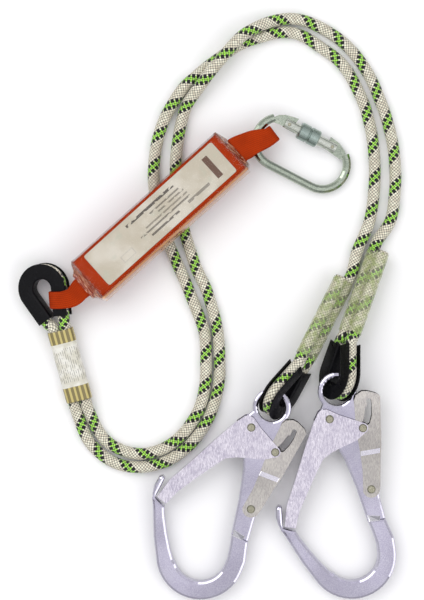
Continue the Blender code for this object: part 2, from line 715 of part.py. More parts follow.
# ---------------------------------------------------------------- carabiner
def build_carabiner():
    half = CARABINER_STRAIGHT / 2
    base = empty("frame_carabiner", CARABINER_FRAME)
    gate_y = GATE_TUBE_OFFSET
    hinge = (half, gate_y)
    latch = (-half, gate_y)
    open_angle = math.degrees(math.asin((gate_y - WIRE_RADIUS * 0.2) / CARABINER_BOW))

    # Frame: a bent wire with flattened tongues at both ends of the gate.
    left = arc((-half, 0.0), CARABINER_BOW, 180 - open_angle, 270, 14)
    right = arc((half, 0.0), CARABINER_BOW, -90, open_angle, 14)
    wire = [Vector((x, y, 0.0)) for x, y in left + right]
    body = add("carabiner_frame", welded(tube_curve("wire", wire, WIRE_RADIUS, 3), "wire"), WIRE, base)
    outline = [(-5, 28.2), (5.8, 26.3), (13.3, 22.4), (18.3, 17.5), (13.3, 12.5), (5.8, 13.4), (-4.2, 14.9)]
    hinge_tongue = [(half + x, y) for x, y in mm(outline)]
    joined(body, "hinge_tongue", plate_mesh("hinge_tongue", [hinge_tongue], -TONGUE_HALF, TONGUE_HALF))
    notch = CARABINER_PIN_RADIUS + FORK_CLEARANCE
    outline = mm([(-18.3, 17.5), (-13.3, 23.6), (-6.8, 27), (6.6, 29.6), (6, 26), (4.7, 21)])
    outline += arc((0.0, gate_y), notch, 0, 180, 8) + [(-notch, gate_y - 0.0045)]
    outline += mm([(-7.3, 15.6), (-14.4, 14.6)])
    latch_tongue = [(x - half, y) for x, y in outline]
    joined(body, "latch_tongue", plate_mesh("latch_tongue", [latch_tongue], -TONGUE_HALF, TONGUE_HALF))
    cut(
        body,
        "hinge_bore",
        cylinder_mesh("hinge_bore", CARABINER_PIN_RADIUS + GAP, -0.01, 0.01),
        Matrix.Translation((*hinge, 0)),
    )

    # Gate: a hollow rod forked over both tongues.
    pivot = empty("frame_carabiner_gate", Matrix.Translation((*hinge, 0)), base)
    low, high = -CARABINER_STRAIGHT - GATE_OVERLAP, GATE_OVERLAP
    lengthwise = Matrix.Rotation(math.pi / 2, 4, "Y")
    rod = cylinder_mesh("rod", GATE_TUBE_RADIUS, low, high, 24)
    rod.transform(lengthwise)
    gate = add("carabiner_gate", rod, WIRE, pivot)
    fork = TONGUE_HALF + FORK_CLEARANCE
    for name, start, end in (("hinge_fork", -0.0080, 0.01), ("latch_fork", low - 0.01, low + 0.0125)):
        slot = plate_mesh(name, [[(start, -0.01), (end, -0.01), (end, 0.01), (start, 0.01)]], -fork, fork)
        cut(gate, name, slot)
    bore = cylinder_mesh("spring_bore", PLUNGER_RADIUS + 0.0003, -0.0240, -0.0075, 16)
    bore.transform(lengthwise)
    cut(gate, "spring_bore", bore)
    for name, x in (("hinge_hole", 0.0), ("latch_hole", -CARABINER_STRAIGHT)):
        hole = cylinder_mesh(name, CARABINER_PIN_RADIUS + GAP, -0.01, 0.01)
        cut(gate, name, hole, Matrix.Translation((x, 0, 0)))

    reach = GATE_TUBE_RADIUS - 0.0002
    for name, x in (("carabiner_hinge_pin", 0.0), ("carabiner_latch_pin", -CARABINER_STRAIGHT)):
        pin = cylinder_mesh(name, CARABINER_PIN_RADIUS, -reach, reach, 16)
        add(name, pin, WIRE, pivot, Matrix.Translation((x, 0, 0)))

    # Spring and plunger inside the gate, pushing on the hinge tongue.
    plunger = cylinder_mesh("carabiner_plunger", PLUNGER_RADIUS, -0.0108, -0.0080, 16)
    plunger.transform(lengthwise)
    add("carabiner_plunger", plunger, SPRING, pivot)
    coil = []
    for i in range(5 * 7 + 1):
        turn = 2 * math.pi * i / 7
        coil.append((-0.0225 + 0.0110 * i / 35, 0.0014 * math.cos(turn), 0.0014 * math.sin(turn)))
    add("carabiner_gate_spring", tube_curve("carabiner_gate_spring", coil, 0.0003, 0), SPRING, pivot)

    # The screw sleeve, standing half way, unlocked.
    inner = GATE_TUBE_RADIUS + GAP
    outer = SCREW_SLEEVE_RADIUS
    length = SCREW_SLEEVE_LENGTH
    profile = [
        (inner, length), (outer - 0.0008, length), (outer, length - 0.0008), (outer, length * 0.56),
        (outer - 0.0009, length * 0.52), (outer - 0.0009, length * 0.48), (outer, length * 0.44),
        (outer, 0.0008), (outer - 0.0008, 0.0), (inner, 0.0),
    ]
    slide = empty("frame_screw_sleeve", Matrix.Translation((SCREW_SLEEVE_START - half, 0, 0)), pivot)
    turned("screw_sleeve", profile, SLEEVE_STEEL, slide, lengthwise, 28, ring=True)


# ---------------------------------------------------------------- scaffold hooks
GATE_PIVOT = (-0.010, -0.026)
LOCK_PIN = (0.022, -0.038)
LEVER_PIVOT = (0.025, -0.100)


def about(pivot, point, degrees):
    """A point turned about a pivot."""
    angle = math.radians(degrees)
    x, y = point[0] - pivot[0], point[1] - pivot[1]
    return (
        pivot[0] + x * math.cos(angle) - y * math.sin(angle),
        pivot[1] + x * math.sin(angle) + y * math.cos(angle),
    )


def fat_line(points, radius, steps=6):
    """The outline of a stroke with round ends along the points."""
    sides = []
    for direction in (1, -1):
        row = points[::direction]
        side = []
        for i, place in enumerate(row):
            before = row[max(i - 1, 0)]
            after = row[min(i + 1, len(row) - 1)]
            run = math.atan2(after[1] - before[1], after[0] - before[0])
            side.append((place[0] + radius * math.sin(run), place[1] - radius * math.cos(run)))
        end = row[-1]
        start = math.degrees(math.atan2(row[-1][1] - row[-2][1], row[-1][0] - row[-2][0]))
        sides += side + arc(end, radius, start - 90, start + 90, steps)[1:-1]
    return sides


def spine_outline():
    """The thin plate: eye, gate pivot and spine, down into the bowl."""
    eye = arc((0.0, 0.0), EYE_RADIUS + EYE_RING, -25, 215, 22)
    left = mm([(-18, -16), (-19.2, -24), (-18.6, -36), (-12, -47), (-4.5, -56.5), (1, -68), (10, -97)])
    left += low([(18, 34.5), (21, 25.5)])
    right = low([(36.5, 25.5), (36.3, 35.5)])
    right += mm([(33, -110), (31.5, -98), (30.5, -75), (27.5, -58), (21.5, -48), (18.4, -41), (18.2, -20)])
    return eye + left + right


def low(points):
    """Millimetres, with y from the bowl's centre."""
    return [(x, y + BOWL_CENTRE) for x, y in mm(points)]


def bowl_outline():
    """The thick forged bowl, its nose and the shoulder that the gate closes on."""
    centre = (0.0, BOWL_CENTRE)
    points = low([(36.4, 34), (38.2, 28.5), (43, 14.5)])
    points[-1:] += arc(centre, BOWL_OUTER, 4, -152, 20)
    points += low([(-50, -2.5), (-60, 17), (-70, 36.5), (-71.8, 44.5), (-71, 54), (-68.3, 57), (-65.2, 55.5)])
    points += low([(-65.6, 34), (-60, 31.9), (-53.4, 29.3), (-50, 22.5), (-40, 7), (-30, -6.5)])
    inner = arc(centre, BOWL_INNER, -138, 0, 14)
    return points + low([(-23, -14.5)]) + inner + low([(25.2, 9.5), (22, 22.5), (18.3, 34)])


GATE_OUTER_EDGE = low([(-64, 35.5), (-60, 56.5)]) + mm([(-48, -80), (-35, -48), (-25.5, -27)])


def gate_outline():
    corner = arc(LOCK_PIN, 0.0052, -70, 75, 6)
    top = mm([(14, -29), (0, -23), (-12, -16.2), (-17, -16), (-20.5, -18.5)])
    inner = low([(-53.2, 33.1), (-48, 49.5)])
    inner += mm([(-40, -100), (-30, -82), (-20, -65), (-10, -59), (0, -55), (15, -49.5)])
    return GATE_OUTER_EDGE + top[::-1] + corner[::-1] + inner[::-1]


def lever_outline():
    top = mm([(18, -5.2), (24, -1.6), (30, -2), (38, -5), (42, -8.5)])
    right = mm([(40.5, -30), (39, -55), (37, -70), (34.2, -98)])
    foot = arc(LEVER_PIVOT, 0.0085, -20, -165, 8)
    left = mm([(17.4, -92), (18, -80), (17, -60), (15.6, -45), (15.4, -28), (15.6, -10)])
    return top + right + foot + left


def lever_slots():
    """The lock pin's path seen from the lever, and the long finger of the slot beside it."""
    path = []
    for i in range(7):
        share = i / 6
        pin = about(GATE_PIVOT, LOCK_PIN, GATE_OPENING * share)
        path.append(about(LEVER_PIVOT, pin, -LEVER_SQUEEZE * share))
    finger = mm([(27.2, -33), (29.6, -26), (30.6, -18), (30.2, -11.5)])
    width = LOCK_PIN_RADIUS + SLOT_CLEARANCE
    return fat_line(path, width), fat_line(finger, width - 0.0003)


def web_outline(edge, thickness):
    """A strip of the given thickness inside an edge, on its right-hand side."""
    inside = []
    for i, place in enumerate(edge):
        before = edge[max(i - 1, 0)]
        after = edge[min(i + 1, len(edge) - 1)]
        run = math.atan2(after[1] - before[1], after[0] - before[0])
        inside.append((place[0] + thickness * math.sin(run), place[1] - thickness * math.cos(run)))
    return edge + inside[::-1]


def hole(target, name, place, radius):
    cut(target, name, cylinder_mesh(name, radius, -0.02, 0.02), Matrix.Translation((*place, 0)))


def rivet(name, radius, grip, parent, at=(0.0, 0.0)):
    """A pin with a low head at each end, outside the sheets that it grips."""
    head = grip + GAP
    top = head + RIVET_HEAD_HEIGHT
    profile = [
        (0.0, top), (RIVET_HEAD * 0.75, top), (RIVET_HEAD, head), (radius, head),
        (radius, -head), (RIVET_HEAD, -head), (RIVET_HEAD * 0.75, -top), (0.0, -top),
    ]
    return turned(name, profile, SHEET, parent, Matrix.Translation((*at, 0)), 14)


def build_hook(side, eye, heading):
    lean = math.asin((eye[2] - BOWL_HALF - FLOOR_GAP) / (BOWL_OUTER - BOWL_CENTRE))
    base = empty(f"frame_hook_{side}", frame(*eye, heading, -math.degrees(lean)))

    body = add(
        f"hook_body_{side}",
        plate_mesh("spine", [spine_outline(), arc((0, 0), EYE_RADIUS, 0, 345, 23)], -SPINE_HALF, SPINE_HALF, 0.0022, 1),
        FORGED,
        base,
    )
    joined(body, f"bowl_{side}", plate_mesh("bowl", [bowl_outline()], -BOWL_HALF, BOWL_HALF, 0.0025, 1))
    hole(body, f"gate_bore_{side}", GATE_PIVOT, RIVET_RADIUS + GAP)
    hole(body, f"lever_bore_{side}", LEVER_PIVOT, RIVET_RADIUS + GAP)

    # Gate: two sheet sides and the web that joins them along the outer edge.
    pivot = empty(f"frame_gate_{side}", Matrix.Translation((*GATE_PIVOT, 0)), base)
    back = Matrix.Translation((-GATE_PIVOT[0], -GATE_PIVOT[1], 0))
    gate = add(f"gate_{side}", plate_mesh("gate", [gate_outline()], GATE_FROM, GATE_TO), SHEET, pivot, back)
    lower = plate_mesh("gate_underside", [gate_outline()], -GATE_TO, -GATE_FROM)
    web = plate_mesh("gate_web", [web_outline(GATE_OUTER_EDGE, GATE_SHEET)], -GATE_TO, GATE_TO)
    joined(gate, f"gate_web_{side}", web, back)
    joined(gate, f"gate_underside_{side}", lower, back)
    for name, place in (("gate_hole", GATE_PIVOT), ("lock_hole", LOCK_PIN)):
        radius = (RIVET_RADIUS if name == "gate_hole" else LOCK_PIN_RADIUS) + GAP
        mesh = cylinder_mesh(name, radius, -0.02, 0.02)
        cut(gate, f"{name}_{side}", mesh, back @ Matrix.Translation((*place, 0)))
    rivet(f"gate_rivet_{side}", RIVET_RADIUS, GATE_TO, base, GATE_PIVOT)
    offset = (LOCK_PIN[0] - GATE_PIVOT[0], LOCK_PIN[1] - GATE_PIVOT[1])
    rivet(f"lock_pin_{side}", LOCK_PIN_RADIUS, GATE_TO, pivot, offset)

    # Lock lever: two sheet sides inside the gate's, joined along the outer edge.
    squeeze = empty(f"frame_lever_{side}", Matrix.Translation((*LEVER_PIVOT, 0)), base)
    back = Matrix.Translation((-LEVER_PIVOT[0], -LEVER_PIVOT[1], 0))
    lever = add(f"lock_lever_{side}", plate_mesh("lever", [lever_outline()], LEVER_FROM, LEVER_TO), SHEET, squeeze, back)
    edge = mm([(42, -8.5), (40.5, -30), (39, -55), (37, -70), (34.8, -92)])
    web = plate_mesh("lever_web", [web_outline(edge, LEVER_SHEET)], -LEVER_TO, LEVER_TO)
    joined(lever, f"lever_web_{side}", web, back)
    joined(lever, f"lever_underside_{side}", plate_mesh("lever_underside", [lever_outline()], -LEVER_TO, -LEVER_FROM), back)
    for name, outline in zip(("lock_slot", "finger_slot"), lever_slots()):
        cut(lever, f"{name}_{side}", plate_mesh(name, [outline], -0.02, 0.02), back)
    mesh = cylinder_mesh("lever_hole", RIVET_RADIUS + GAP, -0.02, 0.02)
    cut(lever, f"lever_hole_{side}", mesh, back @ Matrix.Translation((*LEVER_PIVOT, 0)))
    rivet(f"lever_rivet_{side}", RIVET_RADIUS, LEVER_TO, base, LEVER_PIVOT)

    # Springs: a flat spiral round the gate rivet, and a bowed leaf behind the lever.
    spiral = []
    for i in range(17):
        angle = math.radians(200 + i * 28)
        radius = 0.0041 + 0.00013 * i
        spiral.append((radius * math.cos(angle), radius * math.sin(angle), (SPINE_HALF + GATE_FROM) / 2))
    spiral.append((spiral[-1][0] - 0.006, spiral[-1][1] - 0.013, spiral[-1][2]))
    add(f"gate_spring_{side}", tube_curve(f"gate_spring_{side}", spiral, 0.0005, 1), SPRING, pivot)
    leaf = mm([(32.2, -64), (33.8, -70), (34.4, -76), (33.9, -82), (33.0, -88)])
    strip = plate_mesh(f"lever_spring_{side}", [web_outline(leaf, 0.0005)], -0.0025, 0.0025)
    add(f"lever_spring_{side}", strip, SPRING, base)


def eye_place(bow, bearing):
    """The middle of a hook's eye, hanging on a thimble's bow in the given direction from above."""
    reach = BOW_RADIUS - EYE_SEAT
    angle = math.radians(bearing)
    centre = bow.translation
    return (centre.x + reach * math.cos(angle), centre.y + reach * math.sin(angle), centre.z)


def build_hooks():
    build_hook("left", eye_place(LEFT_EYE[0], -125.3), 64.4)
    build_hook("right", eye_place(RIGHT_EYE[0], -99.5), 95.4)


def shade():
    for made in PARTS.objects:
        if made.type == "MESH":
            made.data.shade_smooth()
            made.data.set_sharp_from_angle(angle=math.radians(35))


build_rope()
build_absorber()
build_carabiner()
build_hooks()
shade()
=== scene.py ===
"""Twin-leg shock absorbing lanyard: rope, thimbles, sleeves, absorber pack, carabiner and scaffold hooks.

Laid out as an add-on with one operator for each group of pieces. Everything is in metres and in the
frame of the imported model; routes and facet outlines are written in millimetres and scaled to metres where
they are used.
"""

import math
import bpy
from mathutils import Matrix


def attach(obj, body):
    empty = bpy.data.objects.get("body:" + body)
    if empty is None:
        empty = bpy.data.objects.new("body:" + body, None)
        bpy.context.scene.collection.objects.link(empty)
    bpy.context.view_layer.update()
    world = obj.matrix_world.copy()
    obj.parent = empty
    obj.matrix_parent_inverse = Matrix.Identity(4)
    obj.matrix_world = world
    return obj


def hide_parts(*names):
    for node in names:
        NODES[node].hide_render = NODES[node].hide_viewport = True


bl_info = {
    "name": "Shock Absorbing Lanyard",
    "version": (1, 0, 0),
    "blender": (4, 5, 0),
    "location": "3D View > Sidebar > Lanyard",
    "description": "Builds a twin-leg energy absorbing lanyard with its hooks and carabiner",
    "category": "Add Mesh",
}

import bmesh
import bpy
import numpy as np
from bpy.props import FloatProperty, FloatVectorProperty, IntProperty, PointerProperty
from mathutils import Matrix, Vector

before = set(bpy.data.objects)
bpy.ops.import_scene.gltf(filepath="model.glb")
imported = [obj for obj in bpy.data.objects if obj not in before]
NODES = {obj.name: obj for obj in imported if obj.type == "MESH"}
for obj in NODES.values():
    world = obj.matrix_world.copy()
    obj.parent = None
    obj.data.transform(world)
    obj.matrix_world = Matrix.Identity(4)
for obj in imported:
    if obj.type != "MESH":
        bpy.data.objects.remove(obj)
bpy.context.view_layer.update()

# ---------------------------------------------------------------- the part's own sizes
FLOOR_GAP = 0.0002
GAP = 0.0003
ROPE_DIAMETER = 0.0118
ROPE_RADIUS = ROPE_DIAMETER / 2
STRAND_OFFSET = ROPE_RADIUS + 0.00015
ROPE_HEIGHT = FLOOR_GAP + ROPE_RADIUS
LAYER = ROPE_DIAMETER + 0.0003

BOW_RADIUS = 0.0183
THIMBLE_LEG = 0.032
THIMBLE_OVERHANG = 0.0062
GROOVE_RADIUS = ROPE_RADIUS + 0.0003
THIMBLE_HALF = GROOVE_RADIUS + 0.0013
THIMBLE_INNER = GROOVE_RADIUS + 0.0028
THIMBLE_CHAMFER = 0.0028 * 0.9
MOUTH_STRAIGHT = 0.0025
STRANDS_MEET = 0.012
LABEL_SLEEVE_LENGTH = 0.0725
SPLICE_SLEEVE_LENGTH = 0.0880
SLEEVE_OUTER = ROPE_RADIUS + GAP + 0.0008

PACK_LENGTH = 0.190
PACK_WIDTH = 0.0472
PACK_THICKNESS = 0.022
FILM_WIDTH = PACK_WIDTH + 0.0028
FILM_HEIGHT = PACK_THICKNESS + 0.0038
PLY = 0.0022
PLY_GAP = 0.0006
NECK_HALF = PLY + PLY_GAP / 2 + 0.0022
CARABINER_NECK = 0.0040
LANYARD_NECK = 0.0085
CARABINER_NECK_WIDTH = 0.035
LANYARD_NECK_WIDTH = 0.029
PACK_SHIFT = -0.002
LOOP_INSET = 0.0038
PAST_NECK = 0.0015
FILM_PAST_PACK = 0.0006
LABEL_SIDE_MARGIN = 0.0082
LABEL_END_MARGIN = 0.021
WIRE_RADIUS = 0.00425
CARABINER_STRAIGHT = 0.0485
CARABINER_BOW = 0.02475
CARABINER_TILT = 8.0
WIRE_GAP = 0.0008
THIMBLE_LOOP_RADIUS = 0.0006 + max(
    math.hypot(THIMBLE_OVERHANG, THIMBLE_HALF), math.hypot(THIMBLE_INNER, THIMBLE_HALF - THIMBLE_CHAMFER)
)
CARABINER_LOOP_RADIUS = WIRE_RADIUS + 0.0018


def mm(points):
    """Millimetres to metres."""
    return [tuple(value * 0.001 for value in point) for point in points]


def arc(centre, radius, start, end, steps):
    """Points along an arc, in degrees from +X."""
    angles = [math.radians(start + (end - start) * i / steps) for i in range(steps + 1)]
    return [(centre[0] + radius * math.cos(a), centre[1] + radius * math.sin(a)) for a in angles]


def placed(x, y, z, heading=90.0, pitch=0.0, roll=0.0):
    """A frame whose +Y points along the heading and sinks by the pitch, rolled about that +Y."""
    turn = Matrix.Rotation(math.radians(heading - 90), 4, "Z")
    sink = Matrix.Rotation(math.radians(-pitch), 4, "X")
    lean = Matrix.Rotation(math.radians(roll), 4, "Y")
    return Matrix.Translation((x, y, z)) @ turn @ sink @ lean


def eye_frames(bow, bow_heading, bow_roll, mouth, mouth_heading, mouth_roll, length):
    """A thimble's frame at its bow centre, and its sleeve's frame at the mouth."""
    lean = math.radians(abs(bow_roll))
    top = FLOOR_GAP + (BOW_RADIUS + THIMBLE_OVERHANG) * math.sin(lean) + THIMBLE_HALF * math.cos(lean)
    rest = FLOOR_GAP + STRAND_OFFSET * math.sin(math.radians(abs(mouth_roll))) + SLEEVE_OUTER
    pitch = math.degrees(math.asin((top - rest) / length))
    return placed(*bow, top, bow_heading, 0.0, bow_roll), placed(
        *mouth, top, mouth_heading, pitch, mouth_roll
    )


EYES = {
    "absorber": eye_frames(
        (-0.1620, 0.0668), -70.0, 18.0, (-0.1460, 0.0250), -74.8, 12.0, LABEL_SLEEVE_LENGTH
    ),
    "right": eye_frames((0.1313, -0.0200), 80.0, -58.0, (0.1409, 0.0216), 70.1, -45.0, SPLICE_SLEEVE_LENGTH),
    "left": eye_frames((0.0733, -0.0386), 55.0, 64.0, (0.0972, -0.0026), 63.0, 48.0, SPLICE_SLEEVE_LENGTH),
}
SLEEVE_LENGTHS = {
    "absorber": LABEL_SLEEVE_LENGTH, "left": SPLICE_SLEEVE_LENGTH, "right": SPLICE_SLEEVE_LENGTH,
}

# Each leg: x and y in millimetres, and how many rope layers it is raised.
LEFT_ROUTE = [
    (-108, -76, 0), (-99.5, -86.5, 0), (-84, -95, 0), (-71, -98.3, 0), (-59.7, -98, 0),
    (-42, -92.4, 0), (-27, -81.5, 0), (-15.2, -67.2, 0), (-8.2, -54.3, 0), (-3.6, -40.2, 0),
    (-1.4, -25, 0), (-0.8, -7, 0), (-1.2, 8.4, 0), (-3, 25, 0), (-9.3, 42.3, 0),
    (-18, 64.3, 0), (-27.4, 86.3, 0), (-37, 108.3, 0), (-46, 136, 0), (-52.6, 167, 0),
    (-52.3, 196.3, 0), (-46, 226, 0), (-36, 247.7, 0), (-23, 267, 0), (-10, 279, 0),
    (5, 291, 0), (23, 304, 0), (39, 312.6, 0), (56, 318, 0), (70, 321.5, 0),
    (83.2, 321.8, 0), (97, 317.5, 0), (114, 306.5, 0), (134, 291, 0), (151.6, 262, 0),
    (162, 231.7, 0), (166.8, 198.6, 0), (166.8, 166.4, 0), (162.2, 134, 0), (155.6, 117, 0),
    (149.8, 103, 0),
]
RIGHT_ROUTE = [
    (-118.5, -84.5, 0), (-107, -97.5, 0), (-89, -108.5, 0), (-71.5, -111.6, 0), (-57.5, -110.8, 0),
    (-36.8, -104.2, 0), (-18.8, -91, 0), (-5.2, -74.8, 0), (4.5, -56, 0), (10, -38, 0),
    (12.5, -20, 0), (12.2, 5, 0), (10.4, 25, 0), (6.4, 42.3, 0), (-0.2, 64.3, 0),
    (-10.5, 86.3, 0), (-18, 108.3, 0), (-25, 133, 0), (-29.5, 155, 0), (-31.4, 188, 0),
    (-29.3, 210.8, 0), (-25.6, 231.8, 0), (-19.5, 250, 0.17), (-7.5, 267, 0.62), (3, 281, 0.94),
    (13, 293, 1.04), (23, 305, 1.05), (36, 318, 0.97), (50, 326.5, 0.70), (65, 332.5, 0.32),
    (82.4, 335.5, 0.06), (100, 332.5, 0), (120, 323, 0), (140.1, 307.9, 0), (158.7, 284.3, 0),
    (172.6, 254.5, 0), (182.3, 224.3, 0), (187.3, 193.6, 0), (187.4, 162.1, 0), (182.5, 133, 0),
]

PACK_ROLL = -9.0
PACK_HEADING = 42.0
PACK_START = Vector((-0.1148, 0.0722, 0.0))
PACK_RUN = Vector((math.cos(math.radians(PACK_HEADING)), math.sin(math.radians(PACK_HEADING)), 0.0))
PACK_END = PACK_START + PACK_RUN * PACK_LENGTH
PACK_HEIGHT = (
    ROPE_HEIGHT + ROPE_RADIUS + GAP
    + (FILM_WIDTH / 2 - PACK_SHIFT) * math.sin(math.radians(-PACK_ROLL))
    + FILM_HEIGHT / 2 * math.cos(math.radians(PACK_ROLL))
)
PACK_FRAME = placed(*PACK_START.lerp(PACK_END, 0.5).xy, PACK_HEIGHT, PACK_HEADING, 0.0, PACK_ROLL)
WEBBING_BOW_HEIGHT = WIRE_GAP + WIRE_RADIUS + (
    CARABINER_STRAIGHT + CARABINER_BOW
) * math.sin(math.radians(CARABINER_TILT))


# ---------------------------------------------------------------- sizes and colours to change
def colour_setting(name, description, default):
    return FloatVectorProperty(name=name, description=description, default=default, subtype="COLOR", size=3)


class LanyardSettings(bpy.types.PropertyGroup):
    """Sizes and colours of the soft parts and the metal."""

    strands: IntProperty(
        name="Strands", description="Strands of the braid in each direction", default=10, min=8, max=24
    )
    pitch: FloatProperty(
        name="Braid Pitch", description="Length of one turn of a strand", default=0.0325,
        subtype="DISTANCE", unit="LENGTH",
    )
    relief: FloatProperty(
        name="Braid Relief", description="How deep the braid sinks between strands", default=0.00042,
        subtype="DISTANCE", unit="LENGTH",
    )
    rope_step: FloatProperty(
        name="Rope Step", description="Distance between two rings of the rope", default=0.0010,
        subtype="DISTANCE", unit="LENGTH",
    )
    cream: colour_setting("Rope", "Colour of the plain strands", (0.93, 0.91, 0.77))
    tracer: colour_setting("Tracer", "Colour of the bright strands", (0.43, 0.90, 0.09))
    webbing: colour_setting("Webbing", "Colour of the webbing", (0.44, 0.036, 0.0006))
    film: colour_setting("Film", "Colour of the shrink film", (0.30, 0.026, 0.001))
    zinc: colour_setting("Zinc", "Tint of the plated steel", (0.55, 0.54, 0.62))


LOOKS = {}


def settings():
    return bpy.context.scene.lanyard


# ---------------------------------------------------------------- shader building
class Nodes:
    """Adds and links the nodes of one shader tree."""

    def __init__(self, tree):
        self.tree = tree

    def add(self, kind, **values):
        made = self.tree.nodes.new(kind)
        for key, value in values.items():
            setattr(made, key, value)
        return made

    def feed(self, socket, value):
        if isinstance(value, bpy.types.NodeSocket):
            self.tree.links.new(value, socket)
        elif value is not None:
            if hasattr(
                socket.default_value, "__len__"
            ) and len(socket.default_value) == 4 and len(value) == 3:
                value = (*value, 1.0)
            socket.default_value = value

    def math(self, operation, first, second=None, third=None):
        made = self.add("ShaderNodeMath", operation=operation)
        for socket, value in zip(made.inputs, (first, second, third)):
            self.feed(socket, value)
        return made.outputs[0]

    def mix(self, share, first, second):
        """A colour between two, by share."""
        made = self.add("ShaderNodeMix", data_type="RGBA")
        self.feed(made.inputs[0], share)
        self.feed(made.inputs[6], first)
        self.feed(made.inputs[7], second)
        return made.outputs[2]

    def ramp(self, value, low, high, from_low=0.0, from_high=1.0):
        made = self.add("ShaderNodeMapRange", interpolation_type="SMOOTHSTEP")
        for socket, given in zip(made.inputs, (value, from_low, from_high, low, high)):
            self.feed(socket, given)
        return made.outputs[0]

    def noise(self, vector, scale, detail=3.0, roughness=0.5):
        made = self.add("ShaderNodeTexNoise")
        self.feed(made.inputs["Vector"], vector)
        made.inputs["Scale"].default_value = scale
        made.inputs["Detail"].default_value = detail
        made.inputs["Roughness"].default_value = roughness
        return made.outputs["Fac"]

    def stretched(self, vector, scale, turn=(0.0, 0.0, 0.0)):
        made = self.add("ShaderNodeMapping")
        self.feed(made.inputs["Vector"], vector)
        made.inputs["Scale"].default_value = scale
        made.inputs["Rotation"].default_value = turn
        return made.outputs[0]

    def bump(self, height, distance, strength=1.0):
        made = self.add("ShaderNodeBump")
        self.feed(made.inputs["Height"], height)
        made.inputs["Distance"].default_value = distance
        made.inputs["Strength"].default_value = strength
        return made.outputs[0]

    def plus(self, first, second):
        return self.math("ADD", first, second)

    def minus(self, first, second):
        return self.math("SUBTRACT", first, second)

    def times(self, first, second):
        return self.math("MULTIPLY", first, second)

    def above(self, first, second):
        return self.math("GREATER_THAN", first, second)

    def below(self, first, second):
        return self.math("LESS_THAN", first, second)

    def ripple(self, value, turns=1):
        """The height of a sine wave above or below zero, with so many humps to each 1 of the value."""
        return self.math("ABSOLUTE", self.math("SINE", self.times(value, math.pi * turns)))

    def flat_map(self):
        """The two coordinates of the piece's own map."""
        split = self.add("ShaderNodeSeparateXYZ")
        self.feed(split.inputs[0], self.coordinates("UV"))
        return split.outputs[0], split.outputs[1]

    def coordinates(self, output="Object"):
        return self.add("ShaderNodeTexCoord").outputs[output]

    def group(self, tree, **values):
        made = self.add("ShaderNodeGroup", node_tree=tree)
        for key, value in values.items():
            self.feed(made.inputs[key.replace("_", " ")], value)
        return made.outputs


def shader_group(name, inputs, outputs):
    """An empty node group with named sockets: (name, socket kind, default)."""
    tree = bpy.data.node_groups.new(name, "ShaderNodeTree")
    for label, kind, default in inputs:
        socket = tree.interface.new_socket(name=label, in_out="INPUT", socket_type=kind)
        if default is not None:
            socket.default_value = default
    for label, kind in outputs:
        tree.interface.new_socket(name=label, in_out="OUTPUT", socket_type=kind)
    nodes = Nodes(tree)
    return nodes, nodes.add("NodeGroupInput"), nodes.add("NodeGroupOutput")


def metal_grain_group():
    """Plated steel: cloudy tint, fine pits and drawn grain."""
    n, given, out = shader_group(
        "metal_grain",
        [
            ("Tint", "NodeSocketColor", (0.6, 0.6, 0.65, 1)),
            ("Shadow Tint", "NodeSocketColor", (0.3, 0.3, 0.38, 1)),
            ("Stretch", "NodeSocketVector", (1, 1, 1)), ("Low Roughness", "NodeSocketFloat", 0.2),
            ("High Roughness", "NodeSocketFloat", 0.4), ("Pit Strength", "NodeSocketFloat", 0.3),
        ],
        [("Color", "NodeSocketColor"), ("Roughness", "NodeSocketFloat"), ("Normal", "NodeSocketVector")],
    )
    place = n.coordinates()
    scaled = n.add("ShaderNodeVectorMath", operation="MULTIPLY")
    n.feed(scaled.inputs[0], place)
    n.feed(scaled.inputs[1], given.outputs["Stretch"])
    cloud = n.noise(place, 90.0, 4.0, 0.6)
    fine = n.noise(scaled.outputs[0], 900.0, 3.0, 0.65)
    speck = n.noise(place, 2600.0, 2.0)
    share = n.plus(n.times(cloud, 0.30), n.times(fine, 0.75))
    n.feed(
        out.inputs["Color"],
        n.mix(n.ramp(share, 0.0, 1.0, 0.36, 0.72), given.outputs["Shadow Tint"], given.outputs["Tint"])
    )
    spread = n.minus(given.outputs["High Roughness"], given.outputs["Low Roughness"])
    rough = n.math(
        "MULTIPLY_ADD", n.ramp(n.plus(n.times(cloud, 0.3), n.times(speck, 0.8)), 0.0, 1.0, 0.3, 0.8), spread,
        given.outputs["Low Roughness"]
    )
    n.feed(out.inputs["Roughness"], rough)
    bump = n.add("ShaderNodeBump")
    n.feed(bump.inputs["Height"], n.plus(n.times(fine, 0.7), n.times(speck, 0.3)))
    n.feed(bump.inputs["Strength"], given.outputs["Pit Strength"])
    bump.inputs["Distance"].default_value = 0.00012
    n.feed(out.inputs["Normal"], bump.outputs[0])


